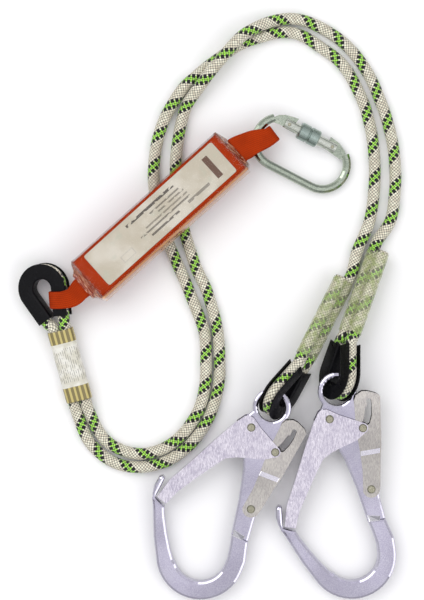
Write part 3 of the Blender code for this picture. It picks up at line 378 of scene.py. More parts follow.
def weave_group():
    """Woven webbing from a flat map in metres: ribs along the run, picks across."""
    n, given, out = shader_group(
        "webbing_weave",
        [
            (
                "Color", "NodeSocketColor", (0.5, 0.06, 0.01, 1)
            ), ("Dark", "NodeSocketColor", (0.2, 0.02, 0.005, 1)),
            ("Rib", "NodeSocketFloat", 0.0019), ("Pick", "NodeSocketFloat", 0.0016),
        ],
        [("Color", "NodeSocketColor"), ("Height", "NodeSocketFloat")],
    )
    u, v = n.flat_map()
    across = n.math("DIVIDE", u, given.outputs["Rib"])
    along = n.math("DIVIDE", v, given.outputs["Pick"])
    odd = n.times(n.math("FLOORED_MODULO", n.math("FLOOR", across), 2.0), 0.5)
    chevron = n.plus(along, odd)
    rib = n.ripple(across)
    pick = n.ripple(chevron)
    height = n.times(n.math("POWER", rib, 0.6), n.math("MULTIPLY_ADD", pick, 0.6, 0.4))
    cloud = n.noise(n.coordinates(), 70.0, 4.0)
    # Painted shade: darker where the weave sinks between ribs and picks; the cloud adds random tone.
    shade = n.times(n.ramp(height, 0.25, 1.0, 0.05, 0.8), n.ramp(cloud, 0.72, 1.0, 0.3, 0.62))
    n.feed(out.inputs["Color"], n.mix(shade, given.outputs["Dark"], given.outputs["Color"]))
    n.feed(out.inputs["Height"], height)


def new_material(name, roughness=0.5, metallic=0.0, **sockets):
    """A material, its node adder and its Principled shader, with fixed values on the shader's own sockets."""
    made = bpy.data.materials.new(name)
    LOOKS[name] = made
    made.use_nodes = True
    shader = made.node_tree.nodes["Principled BSDF"]
    shader.inputs["Roughness"].default_value = roughness
    shader.inputs["Metallic"].default_value = metallic
    for key, value in sockets.items():
        shader.inputs[key.replace("_", " ")].default_value = value
    return made, Nodes(made.node_tree), shader


def grained(name, tint, shadow, stretch=(1.0, 1.0, 1.0), low=0.18, high=0.38, pits=0.3):
    """Plated steel with the shared grain."""
    _, n, shader = new_material(name, metallic=1.0)
    found = n.group(
        bpy.data.node_groups["metal_grain"], Tint=tint, Shadow_Tint=shadow, Stretch=stretch,
        Low_Roughness=low, High_Roughness=high, Pit_Strength=pits,
    )
    n.feed(shader.inputs["Base Color"], found["Color"])
    n.feed(shader.inputs["Roughness"], found["Roughness"])
    n.feed(shader.inputs["Normal"], found["Normal"])


def rope_material():
    """Braid from the rope's map: u once round, v in turns of a strand."""
    _, n, shader = new_material("rope_braid", 0.8, Sheen_Weight=0.25, Sheen_Roughness=0.5)
    count = float(settings().strands)
    u, v = n.flat_map()
    p = n.times(n.plus(u, v), count)
    q = n.times(n.minus(u, v), count)
    row, cell = n.math("FLOOR", p), n.math("FLOOR", q)
    strand = n.math("FLOORED_MODULO", row, count)
    even = n.below(n.math("FLOORED_MODULO", n.plus(row, cell), 2.0), 0.5)
    offset = n.math("ABSOLUTE", n.minus(n.math("FLOORED_MODULO", n.plus(p, count / 2), count), count / 2))
    step = n.math("FRACT", n.math("DIVIDE", q, 2.0))
    in_square = n.below(step, 0.68)
    black = n.times(n.math("COMPARE", offset, 1.32, 0.86), in_square)
    bright = n.plus(n.below(offset, 0.40), n.minus(1.0, in_square))
    green = n.times(n.math("MINIMUM", bright, 1.0), n.below(offset, 1.35))
    fp, fq = n.math("FRACT", p), n.math("FRACT", q)
    dome = n.times(
        n.math("SINE", n.times(fp, math.pi)), n.math("SINE", n.times(fq, math.pi)),
    )
    yarn_p = n.ripple(fp, 3)
    yarn_q = n.ripple(fq, 3)
    yarn = n.plus(n.times(yarn_p, even), n.times(yarn_q, n.minus(1.0, even)))
    fibre = n.noise(n.coordinates(), 3200.0, 2.0)
    place = n.add("ShaderNodeCombineXYZ")
    n.feed(place.inputs[0], strand)
    n.feed(place.inputs[1], cell)
    chance = n.add("ShaderNodeTexWhiteNoise", noise_dimensions="2D")
    n.feed(chance.inputs["Vector"], place.outputs[0])
    cream = tuple(settings().cream)
    tinted = n.mix(
        chance.outputs["Value"], (cream[0] * 1.08, cream[1] * 1.08, cream[2] * 1.04),
        (cream[0] * 0.80, cream[1] * 0.75, cream[2] * 0.70)
    )
    soiled = n.mix(
        n.ramp(n.noise(n.coordinates(), 60.0, 3.0), 0.0, 0.35, 0.45, 0.8), tinted, (0.62, 0.60, 0.42)
    )
    colour = n.mix(green, soiled, tuple(settings().tracer))
    colour = n.mix(black, colour, (0.006, 0.006, 0.008))
    # Painted shade: the colour is darkened in the grooves between strands and between yarns, where shade
    # falls.
    painted_groove_shade = n.times(n.ramp(dome, 0.06, 1.0, -0.08, 0.50), n.ramp(yarn, 0.62, 1.0, 0.0, 0.6))
    dark = n.add("ShaderNodeMix", data_type="RGBA", blend_type="MULTIPLY")
    dark.inputs[0].default_value = 1.0
    n.feed(dark.inputs[6], colour)
    grey = n.add("ShaderNodeCombineColor")
    for socket in grey.inputs:
        n.feed(socket, painted_groove_shade)
    n.feed(dark.inputs[7], grey.outputs[0])
    n.feed(shader.inputs["Base Color"], dark.outputs[2])
    height = n.plus(n.times(dome, 0.6), n.plus(n.times(yarn, 0.3), n.times(fibre, 0.15)))
    n.feed(shader.inputs["Normal"], n.bump(height, 0.00045, 0.8))


def nylon_material():
    """Scuffed black nylon."""
    _, n, shader = new_material("black_nylon", 0.35, Specular_IOR_Level=0.15)
    place = n.coordinates()
    scuff = n.ramp(n.noise(place, 240.0, 5.0, 0.7), 0.0, 1.0, 0.5, 0.78)
    n.feed(shader.inputs["Base Color"], n.mix(scuff, (0.002, 0.002, 0.003), (0.008, 0.008, 0.010)))
    n.feed(shader.inputs["Roughness"], n.ramp(n.noise(place, 520.0, 4.0), 0.26, 0.5, 0.3, 0.7))
    n.feed(shader.inputs["Normal"], n.bump(n.noise(place, 1800.0, 3.0), 0.0001, 0.25))


def clear_sleeve_material():
    """Greenish heat-shrunk film."""
    _, n, shader = new_material("clear_shrink_sleeve", 0.22, Coat_Weight=0.3, Coat_Roughness=0.1)
    place = n.coordinates()
    cloud = n.noise(place, 160.0, 4.0, 0.6)
    n.feed(
        shader.inputs["Base Color"],
        n.mix(n.ramp(cloud, 0.0, 1.0, 0.35, 0.65), (0.42, 0.50, 0.20), (0.72, 0.74, 0.52))
    )
    n.feed(shader.inputs["Alpha"], n.ramp(cloud, 0.42, 0.12, 0.35, 0.6))
    n.feed(shader.inputs["Normal"], n.bump(n.noise(place, 420.0, 3.0), 0.0004, 0.5))


def window(n, u, v, left, right, low, high):
    """1 inside a rectangle of the map."""
    inside = n.times(n.above(u, left), n.below(u, right))
    upright = n.times(n.above(v, low), n.below(v, high))
    return n.times(inside, upright)


def printed_sleeve_material():
    """Off-white printed film: yellow end bands and plain ruled lines. u runs round in metres, v along."""
    _, n, shader = new_material("printed_sleeve", 0.3, Coat_Weight=0.4, Coat_Roughness=0.12)
    u, v = n.flat_map()
    place = n.coordinates()
    base = n.mix(
        n.ramp(n.noise(place, 130.0, 4.0), 0.0, 1.0, 0.35, 0.7), (0.62, 0.60, 0.50), (0.80, 0.79, 0.72)
    )
    band = n.plus(n.below(v, 0.013), n.above(v, LABEL_SLEEVE_LENGTH - 0.015))
    block = n.above(n.math("FLOORED_MODULO", n.times(u, 190.0), 1.0), 0.42)
    base = n.mix(band, base, (0.55, 0.46, 0.16))
    base = n.mix(n.times(n.times(band, block), 0.72), base, (0.07, 0.05, 0.02))
    rule = n.below(n.math("FLOORED_MODULO", n.times(u, 480.0), 1.0), 0.30)
    gaps = n.above(n.noise(n.stretched(n.coordinates("UV"), (480.0, 190.0, 1.0)), 1.0, 1.0), 0.46)
    inner = n.times(n.above(v, 0.018), n.below(v, LABEL_SLEEVE_LENGTH - 0.020))
    lines = n.times(n.times(rule, inner), gaps)
    base = n.mix(n.times(lines, 0.62), base, (0.10, 0.09, 0.08))
    n.feed(shader.inputs["Base Color"], base)
    n.feed(shader.inputs["Normal"], n.bump(n.noise(place, 300.0, 3.0), 0.0005, 0.5))


def webbing_material(name, colour, dark, rib=0.0019, pick=0.0016):
    """Woven webbing with a little fuzz."""
    _, n, shader = new_material(name, 0.7, Specular_IOR_Level=0.1)
    found = n.group(bpy.data.node_groups["webbing_weave"], Color=colour, Dark=dark, Rib=rib, Pick=pick)
    n.feed(shader.inputs["Base Color"], found["Color"])
    fuzz = n.noise(n.coordinates(), 2600.0, 2.0)
    n.feed(shader.inputs["Normal"], n.bump(n.plus(found["Height"], n.times(fuzz, 0.25)), 0.0004, 0.6))


def film_material():
    """Glossy tinted film; the map holds the pack's own x and y in metres."""
    _, n, shader = new_material(
        "absorber_film", 0.12, Coat_Weight=1.0, Coat_Roughness=0.05, Specular_IOR_Level=0.3
    )
    u, v = n.flat_map()
    place = n.coordinates()
    # Along the +x side the film is paler and more opaque where it stands off the pack; the pale colour there
    # is a painted highlight.
    side = n.ramp(u, 0.0, 1.0, 0.0200, 0.0222)
    top_rim = n.ramp(u, 1.0, 0.0, -0.0268, -0.0252)
    far = n.ramp(v, 0.0, 1.0, PACK_LENGTH / 2 - 0.004, PACK_LENGTH / 2 + 0.002)
    near = n.ramp(v, 1.0, 0.0, -PACK_LENGTH / 2 - 0.003, -PACK_LENGTH / 2 + 0.003)
    # Painted highlight: pale streaks along the crease ridges, strongest at the necks.
    crease = n.noise(n.stretched(n.coordinates("UV"), (60.0, 420.0, 1.0)), 1.0, 4.0, 0.6)
    ridge = n.math("POWER", n.minus(1.0, n.times(n.math("ABSOLUTE", n.minus(crease, 0.5)), 2.0)), 30.0)
    neck = n.math("MINIMUM", n.plus(far, near), 1.0)
    painted_crease_highlight = n.times(ridge, n.math("MULTIPLY_ADD", neck, 0.8, 0.08))
    base = n.mix(side, tuple(settings().film), (0.80, 0.42, 0.20))
    base = n.mix(far, base, (0.15, 0.016, 0.004))
    base = n.mix(painted_crease_highlight, base, (0.86, 0.56, 0.36))
    n.feed(shader.inputs["Base Color"], base)
    alpha = n.plus(0.03, n.plus(n.times(side, 0.62), n.times(top_rim, 0.30)))
    alpha = n.plus(alpha, n.plus(n.times(far, 0.72), n.times(near, 0.66)))
    n.feed(shader.inputs["Alpha"], n.math("MINIMUM", n.plus(alpha, n.times(painted_crease_highlight, 0.5)), 0.96))
    wave = n.plus(n.noise(place, 85.0, 3.0), n.times(n.times(crease, neck), 1.4))
    n.feed(shader.inputs["Normal"], n.bump(wave, 0.0016, 0.45))


def label_material():
    """Off-white printed label with plain bars; the map holds the label's own x and y in metres."""
    _, n, shader = new_material("printed_label", 0.4, Specular_IOR_Level=0.3)
    u, v = n.flat_map()
    place = n.coordinates()
    base = n.mix(
        n.ramp(n.noise(place, 28.0, 3.0), 0.0, 1.0, 0.4, 0.62), (0.50, 0.46, 0.36), (0.62, 0.59, 0.50)
    )
    base = n.mix(n.ramp(n.noise(place, 75.0, 2.0), 0.0, 0.35, 0.55, 0.7), base, (0.42, 0.47, 0.37))
    brown = window(n, u, v, -0.0125, 0.0130, 0.0655, 0.0720)
    base = n.mix(n.times(brown, 0.9), base, (0.07, 0.018, 0.004))
    bars = [
        (-0.0140, -0.0112, -0.034, 0.028, 0.85), (-0.0078, -0.0060, -0.008, 0.030, 0.6),
        (-0.0038, -0.0020, 0.000, 0.033, 0.55), (0.0006, 0.0024, -0.020, 0.034, 0.5),
        (0.0048, 0.0066, -0.030, 0.034, 0.65), (0.0098, 0.0120, -0.020, 0.016, 0.75),
        (0.0090, 0.0120, 0.028, 0.056, 0.55),
    ]
    gaps = n.above(n.noise(n.stretched(n.coordinates("UV"), (250.0, 150.0, 1.0)), 1.0, 0.0), 0.38)
    for left, right, low, high, ink in bars:
        mask = n.times(window(n, u, v, left, right, low, high), gaps)
        base = n.mix(n.times(mask, ink), base, (0.012, 0.011, 0.011))
    outer = window(n, u, v, 0.0060, 0.0132, -0.058, -0.043)
    inner = window(n, u, v, 0.0064, 0.0128, -0.0575, -0.0435)
    base = n.mix(n.times(n.minus(outer, inner), 0.5), base, (0.2, 0.2, 0.2))
    n.feed(shader.inputs["Base Color"], base)
    n.feed(shader.inputs["Normal"], n.bump(n.noise(place, 60.0, 3.0), 0.0015, 0.2))


# ---------------------------------------------------------------- mesh building
def linked(name, mesh, body, nodes, material, smooth=True):
    """A piece in the scene that rides on a body, stands for CAD nodes and takes their finish."""
    made = bpy.data.objects.new(name, mesh)
    bpy.context.scene.collection.objects.link(made)
    mesh.materials.append(material)
    if smooth:
        mesh.shade_smooth()
    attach(made, body)
    if nodes:
        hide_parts(*nodes)
    return made


def grid_mesh(name, rings, uv, closed=True, caps=False):
    """A skin over rings of points (rows, points, 3), with its map (rows, points + closed, 2)."""
    rows, count = rings.shape[:2]
    mesh = bpy.data.meshes.new(name)
    faces, corners = [], []
    last = count if closed else count - 1
    for r in range(rows - 1):
        for c in range(last):
            d = (c + 1) % count
            faces.append((r * count + c, r * count + d, (r + 1) * count + d, (r + 1) * count + c))
            corners.append(((r, c), (r, c + 1), (r + 1, c + 1), (r + 1, c)))
    if caps:
        faces.append(tuple(range(count))[::-1])
        faces.append(tuple((rows - 1) * count + c for c in range(count)))
    mesh.from_pydata(rings.reshape(-1, 3).tolist(), [], faces)
    layer = mesh.uv_layers.new(name="UVMap")
    index = np.array(corners).reshape(-1, 2)
    flat = uv[index[:, 0], index[:, 1]]
    values = np.zeros((len(mesh.loops), 2))
    values[: len(flat)] = flat
    if caps:
        values[len(flat):] = np.concatenate([uv[0, :count][::-1], uv[rows - 1, :count]])
    layer.data.foreach_set("uv", values.astype(np.float32).ravel())
    mesh.update()
    return mesh


def smooth_route(points, step):
    """An even walk along a smooth curve through the points, and where each place lies between them."""
    places = [Vector(point) for point in points]
    ends = [2 * places[0] - places[1], *places, 2 * places[-1] - places[-2]]
    fine, where = [], []
    for k, (a, b, c, d) in enumerate(zip(ends, ends[1:], ends[2:], ends[3:])):
        t1 = (b - a).length ** 0.5
        t2 = t1 + (c - b).length ** 0.5
        t3 = t2 + (d - c).length ** 0.5
        for i in range(24):
            t = t1 + (t2 - t1) * i / 24
            ab = a * ((t1 - t) / t1) + b * (t / t1)
            bc = b * ((t2 - t) / (t2 - t1)) + c * ((t - t1) / (t2 - t1))
            cd = c * ((t3 - t) / (t3 - t2)) + d * ((t - t2) / (t3 - t2))
            abc = ab * ((t2 - t) / t2) + bc * (t / t2)
            bcd = bc * ((t3 - t) / (t3 - t1)) + cd * ((t - t1) / (t3 - t1))
            fine.append(abc * ((t2 - t) / (t2 - t1)) + bcd * ((t - t1) / (t2 - t1)))
            where.append(k + i / 24)
    fine.append(places[-1])
    where.append(len(places) - 1.0)
    fine, where = np.array(fine), np.array(where)
    along = np.concatenate([[0.0], np.cumsum(np.linalg.norm(np.diff(fine, axis=0), axis=1))])
    want = np.linspace(0.0, along[-1], max(2, round(along[-1] / step)) + 1)
    walk = np.stack([np.interp(want, along, fine[:, axis]) for axis in range(3)], axis=1)
    return walk, np.interp(want, along, where), want


def across_walk(walk):
    """The run of a walk, and two directions across it that turn as little as they can."""
    run = np.gradient(walk, axis=0)
    run /= np.linalg.norm(run, axis=1, keepdims=True)
    side = np.zeros_like(walk)
    start = np.cross(run[0], (0.0, 0.0, 1.0))
    now = start / np.linalg.norm(start)
    for i in range(len(walk)):
        now = now - run[i] * now.dot(run[i])
        now = now / np.linalg.norm(now)
        side[i] = now
    return run, side, np.cross(side, run)


def rope_mesh(name, walk, along, around=48):
    """A braided rope along a walk."""
    s = settings()
    count = s.strands
    run, side, up = across_walk(walk)
    u = np.arange(around + 1) / around
    uu, vv = np.meshgrid(u, along / s.pitch)
    p, q = (uu - vv) * count, (uu + vv) * count
    dome = np.sqrt(np.abs(np.sin(np.pi * p) * np.sin(np.pi * q)))
    radius = (ROPE_RADIUS + 0.0001 - s.relief * (1.0 - dome))[:, :around]
    angle = u[:around] * 2 * np.pi
    rings = walk[:, None] + radius[..., None] * (
        side[:, None] * np.cos(angle)[None, :, None] + up[:, None] * np.sin(angle)[None, :, None]
    )
    return grid_mesh(name, rings, np.stack([uu, vv], axis=2), caps=True)


def teardrop(steps=56, straight=10):
    """The rope's centreline in a thimble, from the +X leg's end round the bow to the -X leg's end."""
    reach = math.hypot(STRAND_OFFSET, THIMBLE_LEG + STRANDS_MEET)
    angle = math.degrees(
        math.atan2(THIMBLE_LEG + STRANDS_MEET, STRAND_OFFSET) - math.acos(BOW_RADIUS / reach)
    )
    bow = arc((0.0, 0.0), BOW_RADIUS, angle, -180 - angle, steps)
    rise = math.radians(angle)
    run = (THIMBLE_LEG - BOW_RADIUS * math.sin(rise)) / math.cos(rise)
    end = (bow[0][0] - run * math.sin(rise), THIMBLE_LEG)
    leg = [
        (
            end[0] + (bow[0][0] - end[0]) * i / straight, end[1] + (bow[0][1] - end[1]) * i / straight
        ) for i in range(straight)
    ]
    points = [*leg, *bow, *[(-x, y) for x, y in reversed(leg)]]
    return [Vector((x, y, 0.0)) for x, y in points]


def mouth_point(which, side):
    """Where a leg leaves a sleeve, and the next place beyond it."""
    at = EYES[which][1]
    outward = (at.to_3x3() @ Vector((0, 1, 0))).normalized()
    place = at @ Vector((side * STRAND_OFFSET, SLEEVE_LENGTHS[which], 0.0)) + outward * GAP * 2
    beyond = place + outward * ROPE_DIAMETER * 0.8
    beyond.z = max(beyond.z, ROPE_HEIGHT)
    return place, beyond


def build_leg(name, route, start_side, end, end_side):
    """A free leg."""
    first, second = mouth_point("absorber", start_side)
    last, before = mouth_point(end, end_side)
    middle = [Vector((x * 0.001, y * 0.001, ROPE_HEIGHT + up * LAYER)) for x, y, up in route]
    walk, _, along = smooth_route([first, second, *middle, before, last], settings().rope_step)
    walk[3:-3, 2] = np.maximum(walk[3:-3, 2], ROPE_HEIGHT)
    made = linked(
        name, rope_mesh(name, walk, along), "rope", [name.replace("braided_", "rope_")],
        LOOKS["rope_braid"]
    )


def build_eye(which):
    """The doubled rope inside a sleeve and round its thimble."""
    bow, mouth = EYES[which]
    path = [bow @ point for point in teardrop(24, 3)]
    sides = []
    for side, near, inside in ((1, path[0], path[1]), (-1, path[-1], path[-2])):
        near = near + (near - inside).normalized() * MOUTH_STRAIGHT
        far = mouth @ Vector((side * STRAND_OFFSET, SLEEVE_LENGTHS[which] + 0.0005, 0.0))
        half = mouth @ Vector((side * STRAND_OFFSET, SLEEVE_LENGTHS[which] / 2, 0.0))
        opening = mouth @ Vector((side * STRAND_OFFSET, -MOUTH_STRAIGHT, 0.0))
        leaving, arriving = (opening - far).normalized(), (inside - near).normalized()
        reach = (near - opening).length
        bend = []
        for i in range(1, 4):
            t = i / 4
            bend.append(
                opening * (2 * t**3 - 3 * t**2 + 1) + leaving * reach * (t**3 - 2 * t**2 + t)
                + near * (3 * t**2 - 2 * t**3) + arriving * reach * (t**3 - t**2)
            )
        sides.append([far, half, opening, *bend, near])
    points = sides[0] + path + list(reversed(sides[1]))
    walk, _, along = smooth_route(points, settings().rope_step)
    name = f"braided_eye_{which}"
    linked(name, rope_mesh(name, walk, along), "rope", [f"rope_eye_{which}"], LOOKS["rope_braid"])


def build_thimble(which):
    """A nylon gutter with the rope's groove facing outward."""
    inner = -THIMBLE_INNER
    c = THIMBLE_CHAMFER
    section = [(THIMBLE_OVERHANG, THIMBLE_HALF), (THIMBLE_OVERHANG * 0.4, THIMBLE_HALF)]
    section += arc((inner + c, THIMBLE_HALF - c), c, 90, 180, 6)
    section += arc((inner + c, -THIMBLE_HALF + c), c, 180, 270, 6)
    section += [
        (THIMBLE_OVERHANG * 0.4, -THIMBLE_HALF), (THIMBLE_OVERHANG, -THIMBLE_HALF),
        (THIMBLE_OVERHANG + 0.0002, -THIMBLE_HALF + 0.0006)
    ]
    section += [(THIMBLE_OVERHANG, -GROOVE_RADIUS)] + arc((0.0, 0.0), GROOVE_RADIUS, -90, -270, 16)
    section += [(THIMBLE_OVERHANG, GROOVE_RADIUS), (THIMBLE_OVERHANG + 0.0002, THIMBLE_HALF - 0.0006)]
    path = teardrop()
    rings = []
    for i, place in enumerate(path):
        run = (path[min(i + 1, len(path) - 1)] - path[max(i - 1, 0)]).normalized()
        out = Vector((-run.y, run.x, 0.0))
        rings.append([EYES[which][0] @ (place + out * u + Vector((0, 0, v))) for u, v in section])
    rings = np.array([[tuple(point) for point in ring] for ring in rings])
    uv = np.zeros((len(rings), len(section) + 1, 2))
    mesh = grid_mesh(f"nylon_thimble_{which}", rings, uv, caps=True)
    linked(mesh.name, mesh, "rope", [f"thimble_{which}"], LOOKS["black_nylon"])
    mesh.set_sharp_from_angle(angle=math.radians(50))


def build_sleeve(which, name, node, material):
    """A film shrunk over two strands, waisted between them, with uneven ends."""
    mouth, length = EYES[which][1], SLEEVE_LENGTHS[which]
    rows, around = 60, 72
    rng = np.random.default_rng(len(which))
    clear = which != "absorber"
    ragged = rng.uniform(0.0, 0.0026 if clear else 0.0004, (2, around))
    ragged = (ragged + np.roll(ragged, 1, axis=1) + np.roll(ragged, -1, axis=1)) / 3
    angle = np.arange(around) / around * 2 * np.pi
    outer = SLEEVE_OUTER - 0.0002
    x = outer * np.cos(angle) + STRAND_OFFSET * np.tanh(np.cos(angle) * 5)
    z = outer * np.sin(angle) * (1 - 0.10 * np.exp(-((x / 0.003) ** 2)))
    ripple = rng.normal(0.0, 1.0, (rows, around))
    for _ in range(3):
        ripple = (
            ripple + np.roll(ripple, 1, 1) + np.roll(ripple, -1, 1)
            + np.roll(ripple, 1, 0) + np.roll(ripple, -1, 0)
        ) / 5
    rings = np.zeros((rows, around, 3))
    uv = np.zeros((rows, around + 1, 2))
    girth = np.concatenate(
        [[0.0], np.cumsum(np.hypot(np.diff(np.append(x, x[0])), np.diff(np.append(z, z[0]))))]
    )
    for r in range(rows):
        share = r / (rows - 1)
        level = np.full(around, length * share)
        y = ragged[0] * (1 - share) + (length - ragged[1]) * share if clear else level
        swell = 1 + ripple[r] * 0.012
        rings[r] = np.stack([x * swell, y, z * swell], axis=1)
        uv[r, :, 0] = girth
        uv[r, :, 1] = length * share
    at = np.array(mouth)
    rings = rings @ at[:3, :3].T + at[:3, 3]
    mesh = grid_mesh(name, rings, uv)
    made = linked(name, mesh, "rope", [node], material)
    wall = made.modifiers.new("film", "SOLIDIFY")
    wall.thickness = 0.0003 if clear else 0.0006
    wall.offset = -1


# ---------------------------------------------------------------- absorber
def pack_outline(width, height, radius, corner=6, side=14):
    """A rounded rectangle with evenly split sides, anticlockwise from the lower right corner."""
    points = []
    corners = ((1, -1, -90), (1, 1, 0), (-1, 1, 90), (-1, -1, 180))
    for k, (sx, sz, start) in enumerate(corners):
        centre = (sx * (width / 2 - radius), sz * (height / 2 - radius))
        bend = arc(centre, radius, start, start + 90, corner)
        points += bend
        ax, az, turn = corners[(k + 1) % 4]
        nxt = arc((ax * (width / 2 - radius), az * (height / 2 - radius)), radius, turn, turn, 1)[0]
        points += [
            (bend[-1][0] + (nxt[0] - bend[-1][0]) * i / side, bend[-1][1] + (nxt[1] - bend[-1][1]) * i / side)
            for i in range(1, side)
        ]
    return np.array(points)


def lofted(name, rows, caps=False):
    """A skin through (y, outline) rows in the pack's frame, its map holding x and y."""
    rings = np.array([[(x, y, z) for x, z in outline] for y, outline in rows])
    uv = np.concatenate([rings[..., :2], rings[:, :1, :2]], axis=1)
    at = np.array(PACK_FRAME)
    return grid_mesh(name, rings @ at[:3, :3].T + at[:3, 3], uv, caps=caps)


def build_pack():
    """The shrink cover, the folded webbing inside it and the label."""
    end = PACK_LENGTH / 2 + FILM_PAST_PACK
    keys = np.array([
        (-end - LANYARD_NECK, PACK_SHIFT, LANYARD_NECK_WIDTH, NECK_HALF * 2),
        (-end - LANYARD_NECK * 0.55, PACK_SHIFT, LANYARD_NECK_WIDTH + 0.006, NECK_HALF * 2 + 0.003),
        (-end - LANYARD_NECK * 0.3, PACK_SHIFT, FILM_WIDTH - 0.006, FILM_HEIGHT - 0.005),
        (-end, PACK_SHIFT, FILM_WIDTH, FILM_HEIGHT),
        (end, PACK_SHIFT, FILM_WIDTH, FILM_HEIGHT),
        (end + CARABINER_NECK * 0.3, PACK_SHIFT, FILM_WIDTH - 0.005, FILM_HEIGHT - 0.005),
        (end + CARABINER_NECK, 0.0, CARABINER_NECK_WIDTH, NECK_HALF * 2),
    ])
    ys = np.concatenate([
        np.linspace(-end - LANYARD_NECK, -end, 26)[:-1], np.linspace(-end, end, 110)[:-1],
        np.linspace(end, end + CARABINER_NECK, 16),
    ])
    rng = np.random.default_rng(4)
    count = len(pack_outline(0.04, 0.02, 0.004))
    folds = rng.normal(0.0, 1.0, (len(ys), count))
    for _ in range(2):
        folds = (folds + np.roll(folds, 1, 1) + np.roll(folds, -1, 1)) / 3
    rows = []
    for r, y in enumerate(ys):
        shift, width, height = (np.interp(y, keys[:, 0], keys[:, k]) for k in (1, 2, 3))
        outline = pack_outline(width, height, min(0.0045, height * 0.45))
        neck = float(np.clip((abs(y) - end + 0.004) / 0.008, 0.0, 1.0))
        sag = 0.0004 * np.sin(outline[:, 0] / 0.009 + y / 0.021) * np.cos(y / 0.017)
        length = np.linalg.norm(outline, axis=1, keepdims=True)
        out = outline / np.maximum(length, 1e-6)
        shape = outline + out * (np.abs(folds[r])[:, None] * 0.00055 * neck) + np.stack(
            [np.zeros_like(sag), np.abs(sag) * np.sign(outline[:, 1]) * (1 - neck)], axis=1
        )
        rows.append((y, shape + (shift, 0.0)))
    linked(
        "shrink_cover", lofted("shrink_cover", rows), "absorber", ["absorber_cover"],
        LOOKS["absorber_film"]
    )

    half = PACK_LENGTH / 2
    rows = []
    for y in np.linspace(-half, half, 140):
        outline = pack_outline(PACK_WIDTH, PACK_THICKNESS, 0.003, 4, 16)
        plies = np.sin(outline[:, 1] / PACK_THICKNESS * 2 * np.pi * 5)
        edge = np.abs(outline[:, 0]) > PACK_WIDTH / 2 - 0.0032
        outline = outline.copy()
        outline[:, 0] -= np.sign(outline[:, 0]) * np.where(edge, 0.0004 * (1 + plies), 0.0)
        rows.append((y, outline + (PACK_SHIFT, 0.0)))
    linked(
        "folded_webbing", lofted("folded_webbing", rows, caps=True), "absorber", ["tear_webbing"],
        LOOKS["orange_webbing"]
    )

    low = PACK_THICKNESS / 2 + GAP
    width, length = PACK_WIDTH - LABEL_SIDE_MARGIN, PACK_LENGTH - LABEL_END_MARGIN
    soup = bmesh.new()
    outline = pack_outline(width, length, 0.0022, 5, 8)
    layer = soup.loops.layers.uv.new("UVMap")
    rings = []
    for z, inset in ((low, 0.0), (low + 0.0004, 0.0), (low + 0.0005, 0.00012)):
        rings.append(
            [soup.verts.new((x * (1 - inset / width), y * (1 - inset / length), z)) for x, y in outline]
        )
    count = len(outline)
    for lower, upper in zip(rings, rings[1:]):
        for i in range(count):
            soup.faces.new((lower[i], lower[(i + 1) % count], upper[(i + 1) % count], upper[i]))
    soup.faces.new(rings[-1])
    soup.faces.new(rings[0][::-1])
    for face in soup.faces:
        for loop in face.loops:
            loop[layer].uv = loop.vert.co.xy
    soup.transform(PACK_FRAME @ Matrix.Translation((-0.0025, 0.0015, 0)))
    mesh = bpy.data.meshes.new("pack_label")
    soup.to_mesh(mesh)
    soup.free()
    linked(
        "pack_label", mesh, "absorber", ["identification_label"], LOOKS["printed_label"],
        smooth=False
    )


def strap_mesh(name, stations, step=0.0011):
    """A woven strap through (place, width direction, half width) stations, with thick rounded selvedges."""
    places = [station[0] for station in stations]
    walk, where, along = smooth_route(places, step)
    run = np.gradient(walk, axis=0)
    run /= np.linalg.norm(run, axis=1, keepdims=True)
    index = np.arange(len(stations))
    across = np.stack(
        [np.interp(where, index, [station[1][k] for station in stations]) for k in range(3)], axis=1
    )
    half = np.interp(where, index, [station[2] for station in stations])
    across -= run * (across * run).sum(axis=1, keepdims=True)
    across /= np.linalg.norm(across, axis=1, keepdims=True)
    up = np.cross(across, run)
    t = np.concatenate([np.linspace(1, -1, 25), np.linspace(-1, 1, 25)])
    face = np.concatenate([np.ones(25), -np.ones(25)])
    rim = np.clip((1 - np.abs(t)) / 0.09, 0.0, 1.0)
    rib = 0.5 + 0.5 * np.cos(t * np.pi * 9)
    high = face * (PLY / 2) * np.sqrt(np.clip(1 - (1 - rim) ** 2, 0.04, 1.0)) * (0.94 + 0.06 * rib)
    spread = across[:, None] * (t[None] * half[:, None])[..., None]
    rings = walk[:, None] + spread + up[:, None] * high[None, :, None]
    uv = np.zeros((len(walk), len(t) + 1, 2))
    uv[:, : len(t), 0] = t[None] * half[:, None]
    uv[:, len(t), 0] = half
    uv[..., 1] = along[:, None]
    return grid_mesh(name, rings, uv, caps=True)


def loop_stations(upper, lower, first_across, fold, fold_run, fold_across, fold_half, fold_radius):
    """Stations out along the upper points, round the fold and back along the lower points."""
    level = fold_across.normalized()
    rise = level.cross(fold_run.normalized()).normalized()
    stations = []
    for i, (place, half) in enumerate(upper):
        stations.append((place, first_across.lerp(level, i / max(len(upper) - 1, 1)), half))
    radius = fold_radius + PLY / 2
    for i in range(9):
        angle = math.pi * i / 8
        stations.append(
            (fold + rise * radius * math.cos(angle) + fold_run * radius * math.sin(angle), level, fold_half)
        )
    for i, (place, half) in reversed(list(enumerate(lower))):
        stations.append((place, first_across.lerp(level, i / max(len(lower) - 1, 1)), half))
    return [(PACK_FRAME @ place, PACK_FRAME.to_3x3() @ across, half) for place, across, half in stations]


